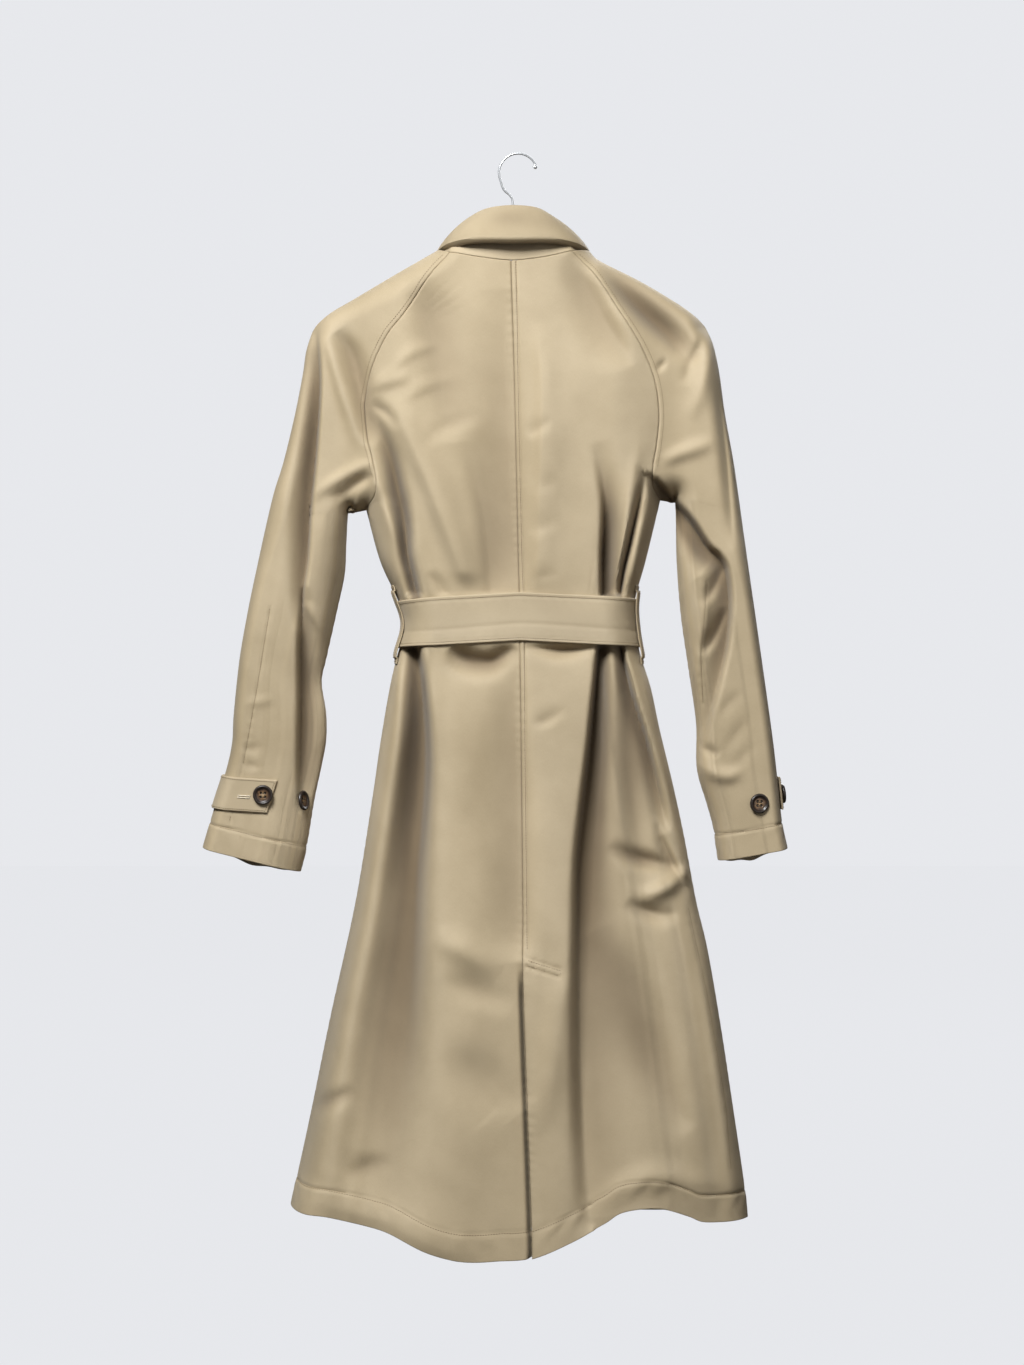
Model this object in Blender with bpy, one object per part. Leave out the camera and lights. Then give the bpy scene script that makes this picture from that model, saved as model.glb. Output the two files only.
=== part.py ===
"""A belted raglan trench coat hanging on a plain wire-hook hanger.

Metres, +Z up. The origin is the underside of the hook's top, where a rail holds it.
The back of the coat faces -Y and the wearer's right side is +X. Tables are in millimetres.
Every panel is a wall through sections of one closed form: its outline is the table of edges,
and its depth rises from the outline as a quarter round up to the depth of that height.
"""
import bpy
import numpy as np

MM = 0.001

# ---- driving dimensions, mm ----
CLOTH = 1.6              # coat cloth, shell only
DOUBLE_CLOTH = 2.6       # belt, collar and tabs, made of two layers
SEAM_GAP = 0.3           # between two pieces that are sewn together
NECK_GAP = 1.6           # panel tops stop this far below the collar stand
ARMPIT_GAP = 1.6         # four panels meet under the arm, each this far from the point
EDGE_GAP = 0.5           # along the outer edge of a sleeve, where its halves face each other
EDGE_FADE = 16.0         # folds die out this near to the outline
SHARP_ANGLE = 0.7        # radians between faces that are shaded apart

WIRE_RADIUS = 1.3
HOOK_RADIUS = 22.0
BALL_RADIUS = 2.6
ARM_RADIUS = 5.5
ARM_TOP = -104.0         # height of the hanger's arms under the hook
ARM_EASE = (5.0, 0.5, 0.5, 1.6)   # extra room under the cloth, from the neck to the shoulder tip

BUTTON_RADIUS = 11.5
BUTTON_HEIGHT = 4.0
LAP_LIFT = 2.4           # an overlapping layer lies this far out
FRONT_EDGE = -35.0       # edge of the upper front
FRONT_UNDER = 30.0       # edge of the lower front, beneath it
LAP_END = 62.0           # the upper front lies flat on its own cloth again from here

# ---- outline of the coat at its mid-plane: x, z ----
SHOULDER_LEFT = ((-93, -112), (-140, -139), (-189, -168), (-213, -182), (-229, -195), (-236, -204))
SHOULDER_RIGHT = ((82, -113), (94, -124), (138, -146), (182, -172), (204, -188), (215, -199))
ARM_LEFT = ((-236, -204), (-243, -227), (-247, -254), (-256, -300), (-269, -354), (-282, -397),
            (-301, -482), (-311, -530), (-320, -581), (-327, -644), (-329, -676), (-336, -708),
            (-350, -752), (-363, -797))
ARM_RIGHT = ((215, -199), (224, -221), (231, -254), (237, -298), (248, -360), (263, -467),
             (290, -651), (298, -714), (304, -768), (310, -798))
INSIDE_LEFT = ((-174, -408), (-185, -410), (-195, -408), (-198, -444), (-200, -482), (-209, -524),
               (-221, -577), (-227, -606), (-222, -642), (-222, -673), (-227, -701), (-236, -743),
               (-244, -792), (-252, -825))
INSIDE_RIGHT = ((163, -397), (172, -398), (181, -398), (183, -467), (188, -529), (197, -591),
                (206, -654), (207, -706), (218, -745), (226, -774), (232, -812))
SIDE_LEFT = ((-174, -408), (-158, -467), (-138, -511), (-129, -541), (-138, -575), (-147, -614),
             (-158, -679), (-167, -741), (-186, -858), (-214, -986), (-238, -1103), (-260, -1204))
SIDE_RIGHT = ((163, -397), (146, -467), (134, -511), (134, -541), (140, -575), (152, -614),
              (162, -661), (177, -723), (190, -783), (204, -858), (217, -913), (232, -1000),
              (247, -1099), (259, -1181), (263, -1220))

# ---- seams: x, z ----
RAGLAN_LEFT = ((-78, -119), (-100, -145), (-128, -188), (-148, -213), (-166, -250), (-174, -284),
               (-174, -303), (-170, -335), (-164, -358), (-161, -380), (-163, -396), (-174, -408))
RAGLAN_RIGHT = ((61, -118), (88, -145), (116, -188), (140, -228), (155, -265), (160, -303),
                (157, -338), (153, -362), (153, -383), (163, -397))
FRONT_NECK_DROP = (6.0, -22.0)   # the front seams start this much nearer the middle and lower
FRONT_DROP = -48.0       # the front neck line lies this much below the back one
CENTRE_BACK = ((-8, -129), (-5, -247), (0, -467), (1, -505), (3, -666), (5, -852), (5, -914),
               (7, -985), (15, -1210), (15, -1252))
VENT_TOP = -914.0

# ---- heights of the rows: share of the raglan seam, then middle, left side, right side ----
RAGLAN_SHARES = (0, 0.08, 0.18, 0.30, 0.43, 0.56, 0.69, 0.81, 0.92, 1.0)
NECK_BACK = -129.0
ARMPIT_MIDDLE = -405.0
LEVELS = ((-405, -408, -397), (-470, -476, -470), (-505, -513, -511), (-532, -540, -538),
          (-560, -568, -567), (-620, -626, -626), (-1246, -1204, -1220))
# columns of the back panels, as shares from the side to the middle: closest at the folds
BACK_COLUMNS = {"left": (0, 0.02, 0.07, 0.14, 0.21, 0.27, 0.32, 0.37, 0.45, 0.6, 0.8, 1),
                "right": (0, 0.02, 0.07, 0.15, 0.24, 0.33, 0.42, 0.5, 0.56, 0.62, 0.7, 0.85, 1)}
FRONT_COLUMNS = 7
ROW_HEIGHTS = (-430, -456, -480, -505, -518, -532, -546, -560, -580, -605)
SKIRT_ROWS = 14
BELT_ROWS = (-505.0, -560.0)
BELT_MIDDLE = -537.0             # no fold runs under the belt
BELT_REACH = 33.0
BELT_FRONT_STEPS = 20
BELT_END = (-105.0, 45.0)        # x of the free end and of where it leaves the buckle
BUCKLE_X = 22.0
BUCKLE_WIDTH = 60.0
BUCKLE_HEIGHT = 68.0
BUCKLE_BAR = 8.0
BUCKLE_DEPTH = 4.5
BUCKLE_CORNER = 10.0
PRONG_RADIUS = 1.4
LOOP_Y = (-27.0, -21.0, -15.0)   # the loops lie just behind the side seams

# ---- depth of the body at each height, behind and in front ----
BODY_DEPTH = ((-60, 45, 42), (-130, 46, 46), (-200, 54, 58), (-300, 61, 66), (-400, 62, 64),
              (-505, 58, 58), (-560, 58, 58), (-620, 66, 63), (-750, 78, 74), (-900, 87, 84),
              (-1050, 94, 90), (-1300, 99, 93))
SLEEVE_DEPTH = ((-100, 40, 40), (-250, 38, 38), (-450, 36, 36), (-650, 33, 33), (-850, 31, 31))
SLEEVE_FORWARD = 14.0    # the cuffs hang this far in front of the shoulders
ROUNDING = 1.05          # edge radius as a share of the depth there

# ---- outer length matched to each sleeve row: share of raglan seam, mm along the outer edge ----
OUTER_LEFT = ((0, 0), (0.3, 120), (0.5, 192), (0.7, 268), (0.9, 348), (1.0, 385))
OUTER_RIGHT = ((0, 0), (0.3, 112), (0.5, 182), (0.7, 255), (0.9, 330), (1.0, 366))
SLEEVE_ROWS = 12

# ---- hems: x, z at the lower edge ----
HEM_BACK = ((-260, -1204), (-241, -1206), (-212, -1208), (-171, -1215), (-143, -1222), (-104, -1240),
            (-75, -1249), (-50, -1252), (-24, -1251), (14, -1248), (57, -1231), (95, -1212),
            (114, -1200), (138, -1196), (164, -1198), (192, -1208), (211, -1216), (255, -1218),
            (263, -1220))
HEM_FRONT = ((-260, -1204), (-180, -1222), (-80, -1234), (0, -1236), (90, -1232), (190, -1226),
             (263, -1220))
NECK_LINE_BACK = ((-78, -119), (-45, -125), (-8, -129), (30, -125), (61, -118))
NECK_LINE_FRONT = ((-72, -141), (-50, -160), (-25, -176), (-4, -180), (20, -176), (42, -160),
                   (55, -140))

# ---- largest folds: path of (x, z, depth inwards), width on the left and on the right ----
BACK_FOLDS = (
    # name, path, left width, right width
    ("left side valley",
     ((-165, -290, 0), (-146, -360, 9), (-132, -430, 14), (-116, -485, 9), (-110, -505, 0)), 12, 16),
    ("left blade ridge",
     ((-150, -268, 0), (-125, -320, -7), (-106, -400, -5), (-92, -470, 0)), 22, 30),
    ("right side valley",
     ((120, -300, 0), (112, -380, 12), (106, -450, 16), (100, -505, 6)), 14, 10),
    ("right strip crease",
     ((146, -390, 0), (131, -440, 10), (119, -490, 6), (116, -508, 0)), 6, 8),
    ("skirt left valley",
     ((-112, -572, 4), (-111, -640, 18), (-110, -720, 18), (-120, -830, 14), (-136, -980, 7),
      (-150, -1100, 0)), 26, 12),
    ("skirt middle swell",
     ((-60, -600, 0), (-62, -760, -8), (-70, -950, -8), (-80, -1150, -5)), 40, 45),
    ("skirt right valley",
     ((92, -570, 4), (84, -640, 18), (76, -740, 20), (72, -860, 17), (72, -1000, 14),
      (75, -1150, 9), (78, -1230, 6)), 10, 26),
    ("skirt right crease",
     ((117, -572, 4), (134, -640, 13), (153, -720, 13), (183, -830, 0)), 9, 16),
    ("skirt right swell",
     ((150, -800, 0), (150, -950, -8), (165, -1150, -10)), 40, 40),
    ("left sleeve fold",
     ((-227, -212, 0), (-230, -270, 9), (-238, -380, 12), (-250, -520, 9), (-251, -600, 0)), 14, 7),
    ("left sleeve lower fold",
     ((-251, -600, 0), (-247, -680, 8), (-250, -735, 0)), 7, 12),
    ("right sleeve inner hollow",
     ((165, -400, 0), (196, -450, 14), (210, -520, 17), (212, -590, 12), (208, -660, 0)), 16, 14),
)
FRONT_FOLDS = (
    ("front left valley",
     ((-150, -300, 0), (-118, -420, 10), (-100, -505, 0)), 16, 20),
    ("front right valley",
     ((140, -300, 0), (112, -420, 10), (98, -505, 0)), 20, 16),
    ("front skirt left valley",
     ((-98, -570, 0), (-100, -680, 15), (-118, -860, 12), (-140, -1100, 6), (-145, -1230, 4)), 22, 14),
    ("front skirt right valley",
     ((100, -570, 0), (106, -700, 15), (120, -880, 11), (146, -1230, 5)), 14, 22),
    ("front left sleeve fold",
     ((-228, -240, 0), (-245, -420, 8), (-262, -600, 0)), 12, 16),
    ("front right sleeve fold",
     ((220, -240, 0), (226, -430, 8), (250, -600, 0)), 16, 12),
)

# ---- collar: sweep from the front left end round the back to the front right end ----
# x, y and z of the roll line and of the fall's lower edge
ROLL_LINE = ((-8, 56, -170), (-33, 53, -156), (-60, 41, -130), (-77, 13, -108), (-68, -10, -98),
             (-57, -27, -90), (-43, -38, -80), (-6, -46, -72), (32, -38, -81), (45, -27, -91),
             (56, -10, -99), (66, 13, -109), (49, 41, -130), (22, 53, -156), (-3, 56, -170))
FALL_EDGE = ((-46, 66, -232), (-75, 63, -206), (-96, 54, -155), (-100, 37, -129), (-99, 12, -113),
             (-92, -28, -110), (-60, -67, -110), (-6, -79, -111), (49, -67, -110), (81, -28, -111),
             (90, 12, -111), (92, 38, -130), (87, 57, -155), (64, 66, -206), (36, 69, -232))
FALL_BULGE = (4.0, 5.0)  # how far the fall is bowed out behind, and how much more in front
FALL_ROWS = 5
COLLAR_STEPS = 2         # columns between two points of the collar's lines
STAND_INSET = 3.4        # the stand's top lies this far inside the fold of the fall
STAND_DROP = 2.5         # and this far below it
FOOT_LIFT = 1.2          # the foot of the stand clears the lapped fronts by this much more
COLLAR_MIDDLE = (-6.0, 0.0)

# ---- sleeve tabs: height at both edges of the tab, mm along the sleeve's ring ----
TAB_LEFT = {"top": -714.0, "bottom": -752.0, "back": 84.0, "front": 45.0}
TAB_RIGHT = {"top": -716.0, "bottom": -754.0, "back": 10.0, "front": 95.0}
TAB_TOP_OF_INSIDE = -500.0       # the tabs are placed by the inside edge below this height
SPARE_DROP = 8.0         # the spare buttons sit this much lower than the tab buttons

# ---- rows of buttons and of the loops: heights, and how far out a loop lies ----
FRONT_BUTTON_X = -3.0
FRONT_BUTTON_ROWS = (-262, -368, -470, -660, -790)
LOOP_ON_CLOTH = CLOTH + SEAM_GAP + 0.4
LOOP_OVER_BELT = CLOTH + DOUBLE_CLOTH + 3 * SEAM_GAP + 0.9
LOOP_ROWS = ((-497, LOOP_ON_CLOTH), (-503, LOOP_ON_CLOTH + 1.2), (-508, LOOP_OVER_BELT),
             (-541, LOOP_OVER_BELT), (-574, LOOP_OVER_BELT), (-579, LOOP_ON_CLOTH + 1.2),
             (-585, LOOP_ON_CLOTH))

# ---- colours ----
KHAKI = (0.56, 0.46, 0.30, 1.0)
HORN = (0.075, 0.042, 0.026, 1.0)
CHROME = (0.78, 0.79, 0.80, 1.0)
ARM_GREY = (0.55, 0.52, 0.47, 1.0)


def material(name, colour, roughness, metallic=0.0):
    """Principled finish of one part."""
    finish = bpy.data.materials.get(name) or bpy.data.materials.new(name)
    finish.use_nodes = True
    shader = finish.node_tree.nodes["Principled BSDF"]
    shader.inputs["Base Color"].default_value = colour
    shader.inputs["Roughness"].default_value = roughness
    shader.inputs["Metallic"].default_value = metallic
    return finish


def smooth(value):
    """Ease from 0 to 1 with level ends."""
    value = np.clip(value, 0.0, 1.0)
    return value * value * (3.0 - 2.0 * value)


def quarter(value):
    """Height of a quarter circle at a share of its radius from the edge."""
    value = np.clip(value, 0.0, 1.0)
    return np.sqrt(1.0 - (1.0 - value) ** 2)


def curve_through(points, per_span=8):
    """Catmull-Rom curve through the points, with per_span steps between two of them."""
    knots = np.asarray(points, float)
    first = 2 * knots[0] - knots[1]
    last = 2 * knots[-1] - knots[-2]
    padded = np.vstack([first, knots, last])
    p0, p1, p2, p3 = padded[:-3], padded[1:-2], padded[2:-1], padded[3:]
    t = np.linspace(0, 1, per_span, endpoint=False)[None, :, None]
    p0, p1, p2, p3 = (p[:, None, :] for p in (p0, p1, p2, p3))
    body = 0.5 * (2 * p1 + (p2 - p0) * t + (2 * p0 - 5 * p1 + 4 * p2 - p3) * t ** 2
                  + (3 * p1 - p0 - 3 * p2 + p3) * t ** 3)
    return np.vstack([body.reshape(-1, knots.shape[1]), knots[-1:]])


def lengths(path):
    """Distance along a path at each of its points."""
    steps = np.linalg.norm(np.diff(path, axis=0), axis=1)
    return np.concatenate([[0.0], np.cumsum(steps)])


def at_length(path, wanted):
    """Points of a path at the wanted distances along it."""
    along = lengths(path)
    return np.stack([np.interp(wanted, along, path[:, k]) for k in range(path.shape[1])], axis=-1)


def at_height(path, z):
    """x of a downward path of (x, z) at given heights."""
    return np.interp(-np.asarray(z, float), -path[:, 1], path[:, 0])


def distance_to(path, x, z):
    """Least distance from points to a path, its signed side, and the share of the path there."""
    start, step = path[:-1], np.diff(path, axis=0)
    px = x[..., None] - start[:, 0]
    pz = z[..., None] - start[:, 1]
    share = np.clip((px * step[:, 0] + pz * step[:, 1]) / (step ** 2).sum(1), 0, 1)
    dx = px - share * step[:, 0]
    dz = pz - share * step[:, 1]
    square = dx ** 2 + dz ** 2
    near = square.argmin(-1)[..., None]
    side = np.take_along_axis(step[:, 0] * dz - step[:, 1] * dx, near, -1)[..., 0]
    along = np.take_along_axis(share, near, -1)[..., 0] + near[..., 0]
    return np.sqrt(np.take_along_axis(square, near, -1)[..., 0]), np.sign(side), along / len(step)


OUTLINES = {
    "shoulder left": curve_through(SHOULDER_LEFT),
    "shoulder right": curve_through(SHOULDER_RIGHT),
    "arm left": curve_through(ARM_LEFT),
    "arm right": curve_through(ARM_RIGHT),
    "gap left": np.vstack([curve_through(INSIDE_LEFT)[::-1], curve_through(SIDE_LEFT)[1:]]),
    "gap right": np.vstack([curve_through(INSIDE_RIGHT)[::-1], curve_through(SIDE_RIGHT)[1:]]),
}


def fold_depth(folds, x, z):
    """Sum of soft troughs: each is a bell across its path, with its own width on each side."""
    total = np.zeros_like(x)
    for _, path, left, right in folds:
        line = curve_through(path, 6)
        away, side, share = distance_to(line[:, :2], x, z)
        depth = np.interp(share, np.linspace(0, 1, len(line)), line[:, 2])
        width = np.where(side < 0, left, right)
        total += depth * np.exp(-(away / width) ** 2)
    return total


def surface(x, z, facing, sleeve=False):
    """y of the cloth's middle layer; facing is -1 behind and +1 in front."""
    x, z = np.asarray(x, float), np.asarray(z, float)
    column = 1 if facing < 0 else 2
    body_rows, sleeve_rows = np.array(BODY_DEPTH, float), np.array(SLEEVE_DEPTH, float)
    body = np.interp(-z, -body_rows[:, 0], body_rows[:, column])
    arm = np.interp(-z, -sleeve_rows[:, 0], sleeve_rows[:, column])
    share = smooth((np.abs(x + 6) - 110) / 90)
    below = smooth((-400 - z) / 110)
    share = share * (1 - below) + (below if sleeve else 0.0)
    cap = body + (arm - body) * share
    rise, fade = np.ones_like(x), np.ones_like(x)
    for path in OUTLINES.values():
        away = distance_to(path, x, z)[0]
        rise *= quarter(away / (cap * ROUNDING))
        fade *= quarter(away / EDGE_FADE)
    fade *= smooth((np.abs(z - BELT_MIDDLE) - BELT_REACH) / 26)
    folds = fold_depth(BACK_FOLDS if facing < 0 else FRONT_FOLDS, x, z)
    forward = SLEEVE_FORWARD * smooth((-420 - z) / 380) if sleeve else 0.0
    return forward + facing * (cap * rise - folds * fade)


def clustered(count, start=True, end=False):
    """Shares from 0 to 1, closer together at the ends that round over."""
    t = np.linspace(0, 1, count)
    if start and end:
        return 0.5 - 0.5 * np.cos(np.pi * t)
    return 1 - np.cos(0.5 * np.pi * t) if start else t


def rows_between(first, last, shares):
    """Straight rows of (x, z) from each first point to each last point."""
    return first[:, None, :] * (1 - shares)[None, :, None] + last[:, None, :] * shares[None, :, None]


def side_rows(raglan, side, column, drop=(0.0, 0.0)):
    """Side ends of the body rows: down the raglan seam, then down the side."""
    seam, edge = curve_through(raglan), curve_through(side)
    shares = np.array(RAGLAN_SHARES, float)
    z = seam[0, 1] + (seam[-1, 1] - seam[0, 1]) * shares
    upper = np.stack([at_height(seam, z), z], axis=1)
    upper += np.outer((1 - shares) ** 2, drop)
    levels = np.array(LEVELS, float)
    lower_z = np.interp(-middle_rows()[len(shares):], -levels[:, 0], levels[:, column])
    lower = np.stack([at_height(edge, lower_z), lower_z], axis=1)
    return np.vstack([upper, lower])


def middle_rows():
    """Heights of the body rows at the middle of the back."""
    shares = np.array(RAGLAN_SHARES, float)
    upper = NECK_BACK + (ARMPIT_MIDDLE - NECK_BACK) * shares
    skirt = np.linspace(ROW_HEIGHTS[-1], LEVELS[-1][0], SKIRT_ROWS + 1)[1:]
    return np.concatenate([upper, ROW_HEIGHTS, skirt])


def body_panel(side_ends, middle_x, columns, neck, hem, facing, neck_drop=0.0):
    """Points of a body panel: rows from the side to the middle, ended by the neck and hem lines."""
    z = middle_rows() + neck_drop * (1 - smooth(np.arange(len(middle_rows())) / 6.0))
    middle = np.stack([middle_x(z), z], axis=1)
    flat = rows_between(side_ends, middle, columns)
    rows = np.linspace(0, 1, len(z))
    for row, line, ease in ((0, neck, 1 - smooth(rows / 0.12)), (-1, hem, smooth((rows - 0.5) / 0.5))):
        line = curve_through(line)
        target = np.interp(flat[row, :, 0], line[:, 0], line[:, 1])
        flat[:, :, 1] += ease[:, None] * (target - flat[row, :, 1])[None, :]
    y = surface(flat[..., 0], flat[..., 1], facing)
    below = np.arange(len(z)) >= len(RAGLAN_SHARES) - 1
    y[below, 0] = 0.0
    return np.stack([flat[..., 0], y, flat[..., 1]], axis=-1)


def sleeve_panel(seam_ends, shoulder, arm, inside, outer_match, facing, columns=7):
    """Points of a sleeve half: rows from the outer edge to the raglan seam, then to the inside."""
    outer = np.vstack([curve_through(shoulder), curve_through(arm)[1:]])
    inner = curve_through(inside)
    seam_rows = len(RAGLAN_SHARES)
    match = np.array(outer_match, float)
    upper_outer = np.interp(RAGLAN_SHARES, match[:, 0], match[:, 1])
    along = (np.linspace(0, 1, SLEEVE_ROWS + 1)[1:]) ** 1.15
    inner_s = along * lengths(inner)[-1]
    outer_s = upper_outer[-1] + along * (lengths(outer)[-1] - upper_outer[-1])
    inner_ends = np.vstack([seam_ends[:seam_rows], at_length(inner, inner_s)])
    outer_ends = at_length(outer, np.concatenate([upper_outer, outer_s]))
    closed = smooth((np.arange(len(inner_ends)) - (seam_rows - 3)) / 3.0)[:, None]
    shares = (1 - closed) * clustered(columns) + closed * clustered(columns, True, True)
    flat = outer_ends[:, None, :] * (1 - shares[..., None]) + inner_ends[:, None, :] * shares[..., None]
    y = surface(flat[..., 0], flat[..., 1], facing, sleeve=True)
    forward = SLEEVE_FORWARD * smooth((-420 - flat[..., 1]) / 380)
    y[:, 0] = forward[:, 0]
    y[seam_rows - 1:, -1] = forward[seam_rows - 1:, -1]
    y[:seam_rows - 1, -1] = surface(flat[:seam_rows - 1, -1, 0], flat[:seam_rows - 1, -1, 1], facing)
    return np.stack([flat[..., 0], y, flat[..., 1]], axis=-1)


def normals(points, wrap=False):
    """Unit normals of a grid, from the steps along its rows and its columns."""
    if wrap:
        along = np.roll(points, -1, axis=1) - np.roll(points, 1, axis=1)
    else:
        along = np.gradient(points, axis=1)
    down = np.gradient(points, axis=0)
    normal = np.cross(along, down)
    return normal / np.maximum(np.linalg.norm(normal, axis=2, keepdims=True), 1e-9)


def drawn_back(points, top, bottom, first, last):
    """The grid with its four edges moved inwards, each by one gap or by a gap for every point."""
    out = points.copy()
    for gap, edge, inner in ((top, np.s_[0], np.s_[1]), (bottom, np.s_[-1], np.s_[-2]),
                             (first, np.s_[:, 0], np.s_[:, 1]), (last, np.s_[:, -1], np.s_[:, -2])):
        step = points[inner] - points[edge]
        reach = np.linalg.norm(step, axis=-1, keepdims=True)
        gap = np.broadcast_to(gap, step.shape[:-1])[..., None]
        out[edge] += step / np.maximum(reach, 1e-9) * np.minimum(gap, 0.7 * reach)
    return out


def wall(name, points, thickness, finish, wrap=False, lift=0.0):
    """Closed wall of a thickness about a grid of points, moved out along its normals by lift."""
    normal = normals(points, wrap)
    outer = (points + normal * (lift + thickness / 2)) * MM
    inner = (points + normal * (lift - thickness / 2)) * MM
    rows, cols = points.shape[:2]
    index = np.arange(rows * cols).reshape(rows, cols)
    shifted = np.roll(index, -1, axis=1) if wrap else index[:, 1:]
    base = index if wrap else index[:, :-1]
    right = shifted
    quads = np.stack([base[:-1], right[:-1], right[1:], base[1:]], axis=-1).reshape(-1, 4)
    offset = rows * cols
    faces = [quads, quads[:, ::-1] + offset]
    edges = [(base[0], right[0]), (right[-1], base[-1])]
    if not wrap:
        edges += [(index[1:, 0], index[:-1, 0]), (index[:-1, -1], index[1:, -1])]
    for a, b in edges:
        faces.append(np.stack([b, a, a + offset, b + offset], axis=-1).reshape(-1, 4))
    vertices = np.vstack([outer.reshape(-1, 3), inner.reshape(-1, 3)])
    return closed_mesh(name, vertices, np.vstack(faces).tolist(), finish)


def closed_mesh(name, vertices, faces, finish):
    """Mesh object of a closed body, its faces turned outwards by the sign of its volume."""
    volume = 0.0
    for corners in {len(face) for face in faces}:
        fan = vertices[np.array([face for face in faces if len(face) == corners])]
        for second in range(1, corners - 1):
            volume += (fan[:, 0] * np.cross(fan[:, second], fan[:, second + 1])).sum()
    if volume < 0:
        faces = [face[::-1] for face in faces]
    mesh = bpy.data.meshes.new(name)
    mesh.from_pydata(vertices.tolist(), [], faces)
    mesh.materials.append(finish)
    mesh.shade_smooth()
    mesh.set_sharp_from_angle(angle=SHARP_ANGLE)
    made = bpy.data.objects.new(name, mesh)
    bpy.context.scene.collection.objects.link(made)
    return made


def tube(name, path, radius, finish, sides=12):
    """Closed round rod along a path, in a frame that stays square to it."""
    tangent = np.gradient(path, axis=0)
    tangent /= np.linalg.norm(tangent, axis=1, keepdims=True)
    across = np.cross(tangent, [0.0, 1.0, 0.0])
    across /= np.linalg.norm(across, axis=1, keepdims=True)
    up = np.cross(across, tangent)
    turn = np.linspace(0, 2 * np.pi, sides, endpoint=False)
    radius = np.broadcast_to(radius, len(path))[:, None, None]
    rings = path[:, None, :] + radius * (np.cos(turn)[None, :, None] * across[:, None, :]
                                         + np.sin(turn)[None, :, None] * up[:, None, :])
    count = len(path)
    index = np.arange(count * sides).reshape(count, sides)
    right = np.roll(index, -1, axis=1)
    quads = np.stack([index[:-1], right[:-1], right[1:], index[1:]], axis=-1).reshape(-1, 4)
    ends = len(path) * sides
    vertices = np.vstack([rings.reshape(-1, 3), path[:1], path[-1:]]) * MM
    first_cap = [[index[0, n], index[0, n - 1], ends] for n in range(sides)]
    last_cap = [[index[-1, n - 1], index[-1, n], ends + 1] for n in range(sides)]
    return closed_mesh(name, vertices, quads.tolist() + first_cap + last_cap, finish)


def button(name, place, normal, finish, radius=BUTTON_RADIUS, sides=16):
    """Turned button: a disc with a raised rim, its back on the cloth."""
    profile = ((0.0, 0.0), (0.82, 0.0), (1.0, 0.45), (0.93, 1.0), (0.78, 0.95), (0.66, 0.62), (0.0, 0.55))
    normal = np.asarray(normal, float) / np.linalg.norm(normal)
    across = np.cross(normal, [0.0, 0.0, 1.0])
    across /= np.linalg.norm(across)
    up = np.cross(normal, across)
    turn = np.linspace(0, 2 * np.pi, sides, endpoint=False)
    rings = [np.asarray(place) + height * BUTTON_HEIGHT * normal
             + share * radius * (np.cos(turn)[:, None] * across + np.sin(turn)[:, None] * up)
             for share, height in profile[1:-1]]
    centres = [np.asarray(place) + profile[k][1] * BUTTON_HEIGHT * normal for k in (0, -1)]
    vertices = np.vstack(rings + centres) * MM
    faces = []
    for k in range(len(rings) - 1):
        for n in range(sides):
            m = (n + 1) % sides
            faces.append([k * sides + n, k * sides + m, (k + 1) * sides + m, (k + 1) * sides + n])
    low, high = len(rings) * sides, len(rings) * sides + 1
    top = (len(rings) - 1) * sides
    for n in range(sides):
        m = (n + 1) % sides
        faces.append([m, n, low])
        faces.append([top + n, top + m, high])
    return closed_mesh(name, vertices, faces, finish)


def normal_at(x, z, facing, sleeve=False):
    """Point and outward unit normal of the cloth at a place."""
    step = 2.0
    y = float(surface(x, z, facing, sleeve))
    slope_x = (surface(x + step, z, facing, sleeve) - surface(x - step, z, facing, sleeve)) / (2 * step)
    slope_z = (surface(x, z + step, facing, sleeve) - surface(x, z - step, facing, sleeve)) / (2 * step)
    normal = facing * np.array([-float(slope_x), 1.0, -float(slope_z)])
    return np.array([x, y, z], float), normal / np.linalg.norm(normal)


def sleeve_ring(outer_point, inner_point, count=60):
    """Half ring each way from the outer edge: back points then front points of one sleeve level."""
    shares = 0.5 - 0.5 * np.cos(np.pi * np.linspace(0, 1, count))
    x = outer_point[0] + (inner_point[0] - outer_point[0]) * shares
    z = outer_point[1] + (inner_point[1] - outer_point[1]) * shares
    back = np.stack([x, surface(x, z, -1, True), z], axis=1)
    front = np.stack([x, surface(x, z, 1, True), z], axis=1)
    edge = back[0].copy()
    edge[1] = SLEEVE_FORWARD * smooth((-420 - edge[2]) / 380)
    back[0] = edge
    return np.vstack([back[::-1], front[1:]])


def tab_points(sizes, arm, inside, tilt, columns=14):
    """Grid of a sleeve tab that wraps the outer edge: from its free end behind to its front end."""
    arm, inside = curve_through(arm), curve_through(inside)
    inside = inside[inside[:, 1] < TAB_TOP_OF_INSIDE]
    rows = []
    for height in np.linspace(sizes["top"], sizes["bottom"], 3):
        outer = (float(at_height(arm, height)), height)
        inner = (float(at_height(inside, height - tilt)), height - tilt)
        ring = sleeve_ring(outer, inner)
        along = lengths(ring)
        centre = along[len(ring) // 2]
        wanted = np.linspace(centre - sizes["back"], centre + sizes["front"], columns)
        rows.append(at_length(ring, wanted))
    return np.array(rows)


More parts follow.
